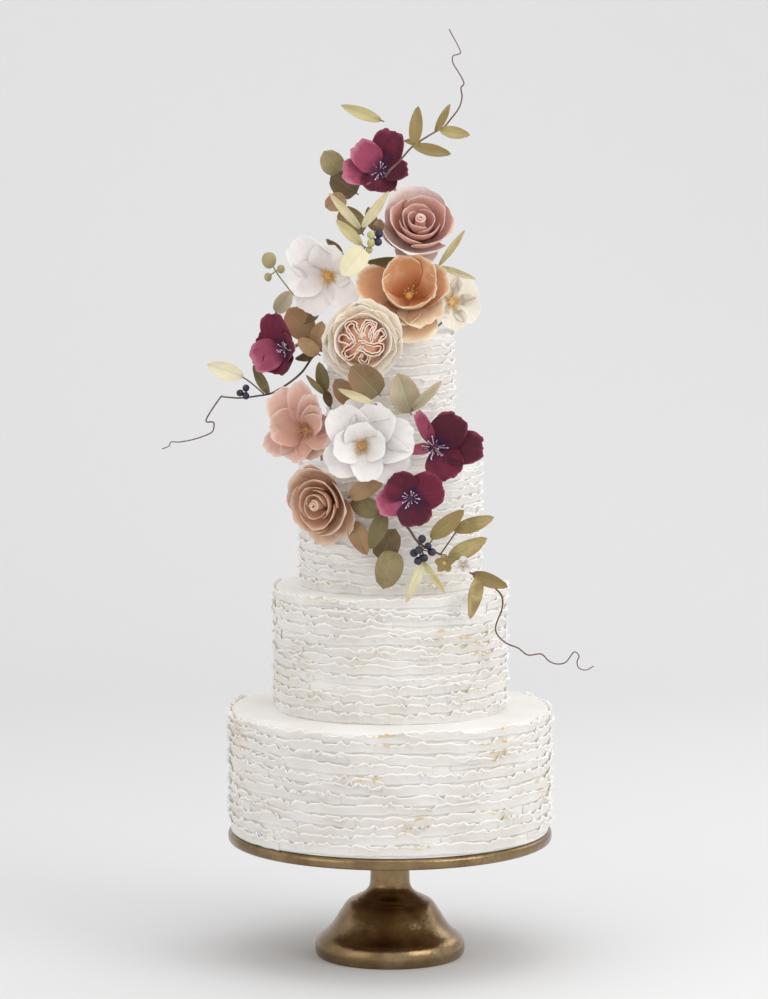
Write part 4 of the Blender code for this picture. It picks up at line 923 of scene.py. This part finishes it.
def build_flowers():
    wine_tufts = ((26, 9.5, 1.5, 0.75, 0.30, 3.0, "pale_stamen", "white_bead"),
                  (30, 3.4, 1.3, 0.6, 0.3, 3.0, "dark_heart", "dark_heart"))
    white_tufts = ((220, 11.0, 1.75, 0.45, 0.16, 4.5, "tan_stamen", "tan_stamen"),
                   (60, 4.5, 1.3, 0.7, 0.3, 3.0, "amber_heart", "amber_heart"))
    gold_tufts = ((90, 8.0, 1.6, 0.5, 0.15, 4.0, "gold_stamen", "gold_stamen"),
                  (40, 4.0, 1.2, 0.7, 0.3, 3.0, "tan_stamen", "gold_stamen"))
    beige_tufts = ((90, 9.5, 1.5, 0.6, 0.16, 4.0, "beige_stamen", "beige_stamen"),
                   (40, 4.5, 1.2, 0.7, 0.3, 3.0, "gold_stamen", "beige_stamen"))
    red = "raspberry_petal"
    fan = {"drop": 0.16, "tip": 2.7, "taper": 0.08, "waist": 0.18, "teeth": 0.022}
    flower("flower_wine_top", (380, 171, 38), (4, 12),
           petals_of(fan, (73, 41, 34, 62, 76, 30, -0.6, 1.0), (137, 36, 31, 58, 74, 26, 1.2, 1.0, 1, 0, red),
                     (184, 38, 30, 64, 82, 28, -1, 1.2, 2, 0, red),
                     (263, 23, 38, 60, 80, 28, -1, 1.0, 0, 0, None, 0.08),
                     (-6, 31, 24, 48, 58, 18, 0.8, 1.0)),
           (4.2, 4.0), [(12, 12, 764), (12, 16, 690), (10, 14, 633)], "wine_petal", "wine_sugar", wine_tufts,
           "dark_heart")
    flower("flower_rose_pink", (418, 234, 20), (5, 38),
           rose(41.5, 3, ("dusty_petal", "dusty_outer"), first=215) + [
               petal(262, 41, 46, (92, 66), 38, drop=0.16, lift=-5, look="dusty_outer"),
               petal(196, 42, 40, (90, 40), 36, drop=0.16, lift=-4, look="dusty_outer")],
           (7, 6), [(35, 6, 714), (32, 18, 633)], "dusty_petal", "dusty_sugar", heart_look="dusty_petal",
           crimp=0.3, sheets=[(rolled_bud(35.0), "dusty_petal")])
    wide = {"drop": 0.18, "tip": 2.6, "taper": 0.10, "waist": 0.25, "teeth": 0.015}
    flower("flower_white_left", (329, 275, 46), (-14, -6),
           petals_of(wide, (128, 50, 42, 55, 82, 36, 0, 1.2), (80, 36, 40, 50, 76, 34, 1, 0, 1),
                     (20, 26, 30, 55, 76, 28), (318, 40, 34, 58, 80, 30, -1, 1.0),
                     (235, 42, 40, 60, 86, 34, -1, 1.4), (185, 40, 38, 55, 80, 30, 1)),
           (6, 6), [(-46, -12, 668), (-40, 4, 640), (-38, 8, 633)], "pink_white_petal", "white_sugar",
           gold_tufts, "amber_heart")
    lip = {"drop": 0.14, "tip": 2.6, "taper": 0.05, "waist": 0.45, "teeth": 0.02}
    flower("flower_peach", (409, 296, 50), (0, 33),
           [petal(118, 46, 48, (80, -6), 25, curl=30, curl_from=0.88, ruffle=0.8, **lip),
            petal(58, 47, 52, (80, -3), 26, curl=35, curl_from=0.88, ruffle=1.0, lift=-0.5, **lip),
            petal(268, 41, 58, (82, -2), 26, curl=50, curl_from=0.86, ruffle=1.2, lift=-1, **lip),
            petal(195, 39, 44, (84, -2), 24, curl=30, curl_from=0.84, ruffle=0.8, lift=-0.6, **lip),
            petal(345, 39, 44, (84, 2), 26, curl=40, curl_from=0.84, ruffle=1.0, lift=-1.4, **lip),
            petal(172, 54, 46, (86, 52), 30, curl=25, ruffle=1.2, lift=-2, **lip),
            petal(14, 44, 46, (88, 30), 32, curl=35, ruffle=1.2, lift=-2.4, **lip),
            *petals_of(lip, (300, 44, 50, 90, 42, 34, -3, 1.8, 2, 40, "peach_outer"),
                       (245, 42, 44, 90, 40, 32, -3, 1.4, 1, 35, "peach_outer"),
                       (278, 53, 50, 92, 68, 44, -4, 1.0, 0, 18, "peach_outer"))],
           (4, 5), [(18, 2, 655), (16, 4, 633)], "peach_petal", "peach_sugar",
           ((9, 9.0, 0.9, 0.8, 0.35, 2.0, "gold_leaf", "gold_stamen"),), "gold_stamen")
    rng = np.random.default_rng(7)
    bowl = []
    for count, radius, slopes, wrap, turn, lift, curl, ruffle in (
            (4, 24.0, (80, 4), 128, 5, -3.5, 22, 0.4), (5, 30.0, (90, 30), 108, 40, -4, 30, 1.0),
            (4, 36.5, (92, 54), 112, 50, -5, 26, 2.0)):
        bowl += cup_ring(count, radius, slopes, wrap, turn, rng, start=2.5, lift=lift, waist=0.58, drop=0.12,
                         tip=2.4, curl=curl, curl_from=0.82, ruffle=ruffle)
    flower("flower_garden_rose", (363, 341, 82), (0, 4), bowl, (25.0, 22.5),
           [(-20, -68, 640), (-18, -30, 646), (-14, -10, 633)], "cream_petal", "cream_sugar",
           heart_look="fold_petal", crimp=0.4,
           sheets=[(sheet, "fold_petal") for sheet in fold_ribbons(1.08, 5.0, 25.5)])
    flower("flower_wine_left", (286, 349, 42), (-32, 4),
           petals_of(fan, (97, 39, 38, 56, 62, 24, 0, 1.4), (152, 30, 28, 62, 68, 24, -1.4, 0, 2),
                     (207, 34, 36, 56, 64, 24, 0.6, 1.0, 0, 0, red), (262, 27, 38, 58, 66, 24, -1),
                     (20, 22, 32, 50, 52, 20, -0.5, 1.0)),
           (4.5, 4.5), [(-64, -14, 634), (-54, 0, 641), (-40, 0, 633)], "wine_petal", "wine_sugar",
           wine_tufts, "dark_heart")
    flower("flower_blush", (308, 429, 46), (-6, 4),
           petals_of(wide, (172, 40, 44, 56, 62, 24), (132, 50, 44, 60, 78, 28, -0.5, 1.2),
                     (98, 54, 30, 50, 66, 20, 1, 0, 0, 12), (78, 50, 26, 36, 50, 15, 1.5, 0, 0, 12),
                     (60, 44, 24, 28, 42, 14, 2, 0, 0, 10), (40, 36, 24, 24, 38, 14, 2, 0, 0, 10),
                     (205, 46, 32, 66, 82, 24, -2), (238, 36, 34, 58, 78, 22, -1, 1.0, 0, 16),
                     (280, 30, 34, 62, 82, 22, -2, 1.0, 0, 16), (322, 28, 26, 50, 66, 20, -1),
                     (18, 30, 26, 44, 58, 20, -2)),
           (5, 5), [(-74, -34, 536), (-70, -10, 522), (-68, -6, 503)], "blush_petal", "blush_sugar",
           beige_tufts, "amber_heart")
    flower("flower_white_large", (362, 445, 108), (0, 2),
           petals_of(wide, (100, 30, 36, 44, 50, 22, 1), (180, 33, 38, 50, 56, 23, 1),
                     (8, 28, 36, 46, 54, 22, 1), (285, 38, 34, 56, 66, 26),
                     (62, 46, 44, 62, 78, 34, -1, 0.8), (128, 47, 44, 60, 76, 32, -1, 1.2),
                     (215, 40, 42, 64, 80, 32, -1), (95, 47, 40, 70, 84, 40, -3, 1.0),
                     (330, 50, 48, 68, 84, 38, -2, 1.4), (12, 52, 48, 68, 82, 38, -2, 1.4, 2)),
           (6, 6), [(-26, -92, 524), (-22, -66, 523)], "white_petal", "white_sugar", white_tufts,
           "amber_heart")
    flower("flower_wine_right", (434, 447, 90), (6, 0),
           [petal(117, 42, 15, (58, 74), 11, lift=1, start=3, look=red, **fan),
            *petals_of(fan, (56, 41, 38, 58, 76, 32, 0, 1.2), (2, 48, 36, 62, 80, 34, -1, 1.4, 1),
                       (300, 34, 40, 62, 82, 34, 0, 1.2, 2)),
            petal(186, 30, 12, (70, 84), 9, lift=-2, look=red)],
           (6, 5), [(46, -84, 518), (48, -78, 514)], "wine_petal", "wine_sugar",
           ((22, 13.0, 1.7, 0.75, 0.34, 3.0, "pale_stamen", "white_bead"), wine_tufts[1]), "dark_heart")
    flower("flower_rose_clay", (328, 501, 76), (-32, -5),
           rose(36.5, 6, ("clay_petal", "clay_outer"), opened=12.0, first=100) + [
               petal(262, 44, 44, (92, 60), 36, drop=0.16, lift=-5, curl=20, look="clay_outer"),
               petal(318, 42, 40, (92, 50), 34, drop=0.16, lift=-4, curl=20, look="clay_outer"),
               petal(105, 46, 36, (88, 26), 28, drop=0.20, lift=-3, curl=30, look="clay_petal")],
           (7, 6), [(-66, -72, 474), (-64, -66, 474)], "clay_petal", "clay_sugar", heart_look="clay_petal",
           crimp=0.3, sheets=[(rolled_bud(34.0), "clay_petal")])
    flower("flower_wine_low", (411, 498, 115), (0, 0),
           petals_of(fan, (128, 30, 36, 60, 76, 28, 0, 1.2), (30, 34, 40, 62, 78, 30, -1, 1.4),
                     (188, 34, 30, 64, 80, 28, -1, 0, 1, 0, red), (285, 27, 36, 62, 82, 28, 0, 1.4)),
           (5, 5), [(21, -98, 470), (21, -92, 470)], "wine_petal", "wine_sugar", wine_tufts, "dark_heart")
    flower("flower_cream_back", (450, 302, -6), (30, 10),
           [petal(40 + i * 72, 30, 32, (62, 78), 26, phase=i, ruffle=1.2, **wide) for i in range(5)],
           (4.5, 4.5), [(52, 8, 640), (44, 8, 633)], "pale_cream_petal", "cream_sugar", gold_tufts[:1],
           "tan_stamen")
    for name, place, look, slot in (("blossom_olive", (444, 563, 118), "gold_leaf", "cream_sugar"),
                                    ("blossom_white", (463, 565, 117), "white_petal", "white_sugar")):
        x, _, z = spot(*place)
        flower(name, place, (4, 0), [petal(90 + i * 72, 9.5, 9, (62, 80), 9, start=0.6, waist=0.5)
                                     for i in range(5)],
               (2.2, 2.2), [(x, 6 - place[2], z - 1)], look, slot,
               ((14, 2.6, 1.2, 0.4, 0.14, 1.0, "gold_stamen", "gold_stamen"),), "green_berry", 10, 10, 0.3)


# Leaves, twigs and berries
def leaf_points(base, tip, width, blunt=0.25, bulge=3.0, across=14, along=26):
    """Middle points of a thin wavy leaf from base to tip, its face to the front."""
    base, tip = np.asarray(base, float), np.asarray(tip, float)
    run = tip - base
    base = base - run / np.linalg.norm(run) * 1.5
    run = tip - base
    length = np.linalg.norm(run)
    heading = run / length
    face = np.array((0, -1.0, 0))
    face = face - heading * face.dot(heading)
    face = face / np.linalg.norm(face)
    side = np.cross(heading, face)
    u, v = sheet_grid(-1, across + 1, along + 1)
    fat = np.sin(math.pi * (0.06 + 0.88 * v ** 0.85)) ** (0.5 + 0.5 * (1 - blunt))
    ends = np.minimum(1.0, np.minimum(v / 0.05 + 0.12, (1 - v) / 0.06 + 0.05)) ** 0.6
    half = width / 2 * fat * ends
    along_v = v * (1 - 0.06 * u * u * blunt)
    bow = np.sin(math.pi * v) * bulge
    fold = np.abs(u) ** 1.5 * half * 0.28
    wave = 0.5 * np.sin(7 * v + 2 * u) + 0.3 * np.abs(u) * np.sin(17 * v + 1.5 * u)
    high = (bow + fold + wave)[..., None]
    return base + heading * (along_v * length)[..., None] + side * (u * half)[..., None] + face * high, u, v


def add_leaf(piece, base, tip, width, look, shade, *form):
    points, u, v = leaf_points(base, tip, width, *form)
    piece.sheet(points, LEAF_THICK * (1.2 - 0.5 * v), u / 2 + 0.5, v, look, shade)


def build_leaves():
    rng = np.random.default_rng(9)
    # Name, base, tip, width, how far back its wire reaches, finish, slot, then bluntness and bulge
    for name, base, tip, width, back, look, slot, *form in (
            ("round_a", (338, 171, 34), (324, 151, 34), 23, 10, "round_olive", "olive", 1.0),
            ("round_b", (355, 192, 18), (331, 174, 16), 27, 8, "bronze", "bronze", 1.0),
            ("round_c", (344, 198, 40), (325, 207, 38), 18, 8, "tan", "bronze", 1.0),
            ("round_d", (361, 232, 34), (340, 208, 30), 25, 10, "olive", "olive", 1.0),
            ("dark_a", (374, 229, 22), (368, 207, 16), 12, 8, "olive", "olive"),
            ("dark_b", (378, 230, 53), (380, 219, 53), 11, 5, "bronze", "bronze", 1.0),
            ("pale_a", (360, 228, 46), (329, 193, 44), 9, 8, "pale", "pale", 0.25, 4),
            ("pale_b", (363, 226, 62), (389, 191, 72), 10, 8, "pale", "pale", 0.25, 5),
            ("pale_c", (361, 244, 60), (336, 220, 58), 11, 8, "pale", "pale"),
            ("pale_d", (363, 250, 72), (341, 276, 80), 24, 8, "cream", "pale", 1.0),
            ("small_a", (341, 252, 34), (326, 239, 36), 8, 6, "bronze", "bronze"),
            ("arch", (408, 263, 30), (366, 262, 34), 12, 8, "olive", "olive", 0.25, 6),
            ("top_left", (380, 120, 24), (341, 105, 24), 12, 8, "pale", "pale"),
            ("left_a", (277, 311, 34), (291, 291, 32), 16, 6, "sage", "pale", 0.8),
            ("left_b", (309, 335, 22), (288, 308, 18), 28, 8, "tan", "olive", 1.0),
            ("left_c", (308, 321, 34), (320, 309, 34), 9, 6, "bronze", "bronze"),
            ("left_d", (315, 350, 50), (322, 321, 46), 17, 8, "tan", "bronze", 0.6),
            ("left_e", (317, 353, 60), (298, 339, 58), 15, 6, "tan", "bronze", 0.9),
            ("mid_a", (325, 390, 64), (319, 362, 62), 13, 8, "olive", "olive", 0.5),
            ("mid_b", (323, 393, 70), (306, 375, 70), 6, 6, "olive", "olive"),
            ("mid_c", (330, 405, 54), (325, 389, 50), 9, 6, "bronze", "bronze"),
            ("mid_round", (378, 393, 114), (351, 366, 114), 31, 6, "bronze", "bronze", 1.0),
            ("mid_dark", (352, 402, 92), (335, 379, 88), 20, 8, "bronze", "bronze", 0.8),
            ("mid_thin", (373, 403, 136), (338, 389, 128), 8, 6, "pale", "pale"),
            ("sage", (410, 411, 84), (398, 373, 84), 29, 8, "sage", "pale", 1.0),
            ("sage_thin", (414, 408, 98), (442, 381, 102), 10, 6, "sage", "pale", 0.6),
            ("low_a", (351, 496, 98), (384, 478, 98), 18, 4, "tan", "olive", 0.8),
            ("low_b", (381, 511, 104), (350, 503, 90), 20, 4, "olive", "olive", 0.5),
            ("low_c", (353, 523, 88), (367, 555, 98), 19, 3, "tan", "bronze", 0.4),
            ("low_d", (384, 514, 110), (370, 549, 112), 17, 4, "olive", "olive", 0.4),
            ("low_e", (380, 557, 104), (396, 529, 102), 25, 4, "bronze", "bronze", 1.0),
            ("low_f", (393, 553, 114), (383, 589, 120), 27, 4, "olive", "olive", 1.0)):
        away_x, away_y = base[0] - tip[0], base[1] - tip[1]
        size = math.hypot(away_x, away_y)
        root = spot(base[0] + away_x / size * 4, base[1] + away_y / size * 4, base[2] - back)
        start, end = spot(*base), spot(*tip)
        piece = Piece("sugar_leaf_" + name)
        add_leaf(piece, start, end, width, look + "_leaf", rng.uniform(0, 1), *form)
        run = (end - start) / np.linalg.norm(end - start)
        piece.add(*wire([start + (end - start) * 0.12, start - run * 2, root], 0.75, 6), "brown_twig")
        piece.make(slot + "_leaf", "leaf_" + name)

    top = [(385, 177, 66), (390, 170, 66), (399, 162, 66), (403, 157, 64), (413, 146, 56), (425, 138, 46),
           (435, 132, 38), (444, 127, 34), (450, 120, 32), (459, 108, 30), (462, 97, 30), (461, 88, 30),
           (464, 83, 30), (459, 73, 30), (453, 63, 30), (453, 56, 30), (459, 54, 30), (460, 50, 30),
           (449, 29, 30)]
    twig("twig_top", top, 1.2, 0.5, (
        ((414, 145, 55), (418, 106, 46), 13, "gold_leaf"), ((436, 131, 38), (450, 104, 34), 8, "gold_leaf"),
        ((441, 130, 36), (470, 135, 34), 12, "gold_leaf"), ((414, 146, 56), (451, 154, 44), 12, "gold_leaf"),
        ((419, 142, 50), (404, 141, 46), 6, "gold_leaf")))
    left = [(326, 351, 8), (317, 351, 34), (311, 359, 32), (302, 372, 30), (289, 383, 32), (276, 391, 34),
            (269, 394, 34), (257, 396, 36), (250, 397, 36), (238, 398, 36), (224, 397, 36), (220, 398, 36),
            (206, 420, 36), (213, 422, 36), (214, 426, 36), (212, 432, 36), (204, 436, 36), (191, 440, 36),
            (179, 442, 36), (171, 442, 36), (169, 446, 36), (162, 449, 36)]
    twig("twig_left", left, 1.4, 0.5, (
        ((313, 355, 32), (295, 359, 38), 9, "bronze_leaf"),
        ((268, 393, 34), (253, 365, 34), 10, "olive_leaf"),
        ((242, 376, 38), (207, 364, 38), 18, "cream_leaf")),
        spurs=(((264, 394, 34), (250, 382, 37), (239, 375, 38)),))
    low = [(398, 515, 97), (405, 524, 110), (411, 532, 114), (417, 541, 114), (428, 549, 112),
           (437, 553, 110), (447, 557, 108), (458, 564, 106), (469, 572, 104), (477, 576, 102),
           (487, 582, 100), (496, 589, 98), (502, 597, 96), (502, 609, 94), (496, 625, 92), (497, 634, 92),
           (506, 643, 92), (518, 648, 92), (528, 655, 92), (541, 654, 92), (549, 661, 92), (557, 664, 92),
           (566, 662, 92), (574, 652, 92), (579, 656, 92), (577, 662, 92), (579, 668, 92), (586, 670, 92),
           (594, 666, 92)]
    twig("twig_low", low, 1.4, 0.5, (
        ((432, 537, 118), (464, 510, 120), 17, "gold_leaf"),
        ((455, 530, 110), (494, 517, 108), 15, "gold_leaf"),
        ((450, 557, 108), (487, 538, 112), 17, "gold_leaf"),
        ((474, 574, 102), (508, 587, 106), 14, "gold_leaf"),
        ((479, 577, 102), (470, 619, 124), 14, "gold_leaf"),
        ((423, 563, 116), (406, 603, 125), 10, "pale_leaf"),
        ((424, 563, 116), (445, 593, 121), 7, "pale_leaf")),
        spurs=(((425, 548, 113), (430, 543, 117), (436, 534, 118)), ((440, 555, 109), (458, 529, 110)),
               ((417, 541, 114), (424, 556, 115), (424, 566, 116))))
    blades = Piece("sugar_leaf_blades")
    add_leaf(blades, spot(440, 264, 16), spot(465, 230, 12), 7, "pale_leaf", 0.2)
    add_leaf(blades, spot(442, 267, 18), spot(476, 279, 20), 7, "pale_leaf", 0.7)
    blades.add(*wire([spot(436, 268, 6), spot(441, 264, 16), spot(444, 260, 16)], 0.8), "green_stem")
    blades.add(*wire([spot(438, 266, 10), spot(446, 268, 18)], 0.8), "green_stem")
    blades.make("pale_leaf", "leaf_blades")


def twig(name, path, thick, thin, leaves, spurs=()):
    piece = Piece("wired_" + name)
    points = smooth_path([spot(*p) for p in path])
    share = np.linspace(0, 1, len(points))
    piece.add(*wire(points, thick + (thin - thick) * share ** 0.6), "brown_twig")
    for i, (base, tip, width, look) in enumerate(leaves):
        add_leaf(piece, spot(*base), spot(*tip), width, look, (i * 0.37) % 1.0)
    for spur in spurs:
        piece.add(*wire(smooth_path([spot(*p) for p in spur]), 0.7), "brown_twig")
    piece.make("twig", name)


def build_berries():
    rng = np.random.default_rng(4)
    for name, places, hub, greens in (
            ("berries_top", ((371, 235, 64, 4), (371, 243, 66, 4), (379, 234, 62, 4), (378, 242, 64, 4),
                             (369, 250, 62, 3.5)), (375, 240, 56), (0, 1, 4)),
            ("berries_left", ((246, 388, 42, 3.5), (240, 393, 42, 3.5), (246, 396, 44, 3.5)),
             (246, 393, 38.5), ()),
            ("berries_low", ((422, 539, 122, 4), (414, 553, 122, 4), (418, 561, 122, 4), (424, 558, 122, 4),
                             (432, 552, 120, 4), (419, 550, 127, 4), (428, 546, 122, 3.5)),
             (422, 550, 117.5), ())):
        piece = Piece("sugar_" + name)
        piece.add(*ball(spot(*hub), 1.6, 10, 8), "brown_twig")
        for i, (across, down, front, size) in enumerate(places):
            centre = spot(across, down, front)
            axis = centre - spot(*hub) + rng.normal(0, 1.5, 3)
            piece.add(*ball(centre, size * np.array((1, 1, 1.08)), 20, 14, 0.14, axis),
                      "green_berry" if i in greens else "navy_berry")
            piece.add(*wire([spot(*hub), centre], 0.6, 6), "brown_twig")
        piece.make("berry", name)
    spray = Piece("sugar_bud_spray")
    spray.add(*wire(smooth_path([spot(*p) for p in ((274, 268, 22), (279, 276, 22), (289, 289, 20),
                                                    (307, 311, 14))]), 0.7), "green_stem")
    for across, down, size in ((269, 260, 8.5), (281, 269, 4.5), (268, 277, 4.5)):
        centre = spot(across, down, 22)
        spray.add(*ball(centre, (size * 0.85, size * 0.8, size), 20, 14, 0.1), "round_olive_leaf")
        spray.add(*wire([spot(276, 271, 22), centre], 0.7, 6), "green_stem")
    spray.make("pale_leaf", "bud_spray")


# Studio
def build_studio():
    """Plain pale floor and sweep, one camera and soft lights."""
    sweep = bpy.data.meshes.new("sweep")
    outline = [(-3.0, 0.0)] + [(1.6 + 1.2 * math.sin(a), 1.2 - 1.2 * math.cos(a))
                               for a in np.linspace(0, math.pi / 2, 16)] + [(2.8, 4.5)]
    verts = [(x, y, z) for y, z in outline for x in (-5.0, 5.0)]
    faces = [(i * 2, i * 2 + 1, i * 2 + 3, i * 2 + 2) for i in range(len(outline) - 1)]
    sweep.from_pydata(verts, [], faces)
    sweep.shade_smooth()
    backdrop = bpy.data.objects.new("sweep", sweep)
    bpy.context.scene.collection.objects.link(backdrop)
    sweep.materials.append(finish("studio_paper",
                                  lambda b: b.mix(b.grain(b.place, 0.7, 1.0), (0.74, 0.74, 0.745),
                                                  (0.77, 0.77, 0.775)), 0.9))

    camera = bpy.data.cameras.new("camera")
    camera.sensor_fit = "VERTICAL"
    camera.sensor_height = SENSOR_TALL
    camera.lens = EYE_SCALE / PHOTO_TALL * SENSOR_TALL
    camera.clip_end = 20.0
    eye = bpy.data.objects.new("camera", camera)
    eye.location = (EYE_ASIDE * MM, -EYE_FAR * MM, EYE_HIGH * MM)
    eye.rotation_euler = (math.pi / 2 - EYE_DOWN, 0, 0)
    bpy.context.scene.collection.objects.link(eye)
    bpy.context.scene.camera = eye

    for name, place, size, power, colour in (
            ("window_right", (2.0, -1.5, 1.6), 1.6, 24.0, (1.0, 0.998, 0.995)),
            ("fill_left", (-2.2, -1.8, 1.2), 1.8, 10.5, (1.0, 0.97, 0.94)),
            ("overhead", (0.2, -0.4, 2.6), 1.6, 9.5, (1.0, 1.0, 1.0)),
            ("window_back", (1.45, 1.2, 1.3), 1.0, 4.5, (1.0, 0.99, 0.97))):
        lamp = bpy.data.lights.new(name, "AREA")
        lamp.size = size
        lamp.energy = power
        lamp.color = colour
        obj = bpy.data.objects.new(name, lamp)
        obj.location = place
        aim = Vector((0, 0, 0.45)) - Vector(place)
        obj.rotation_euler = aim.to_track_quat("-Z", "Y").to_euler()
        obj.visible_camera = False
        bpy.context.scene.collection.objects.link(obj)
    world = bpy.data.worlds.new("studio")
    world.use_nodes = True
    world.node_tree.nodes["Background"].inputs["Color"].default_value = (1.0, 1.0, 1.0, 1.0)
    world.node_tree.nodes["Background"].inputs["Strength"].default_value = ROOM_LIGHT
    bpy.context.scene.world = world
    bpy.context.scene.view_settings.view_transform = "Standard"


build_studio()
make_finishes()
STAMENS = stamen_tree()
build_stand()
build_tiers()
build_flowers()
build_leaves()
build_berries()
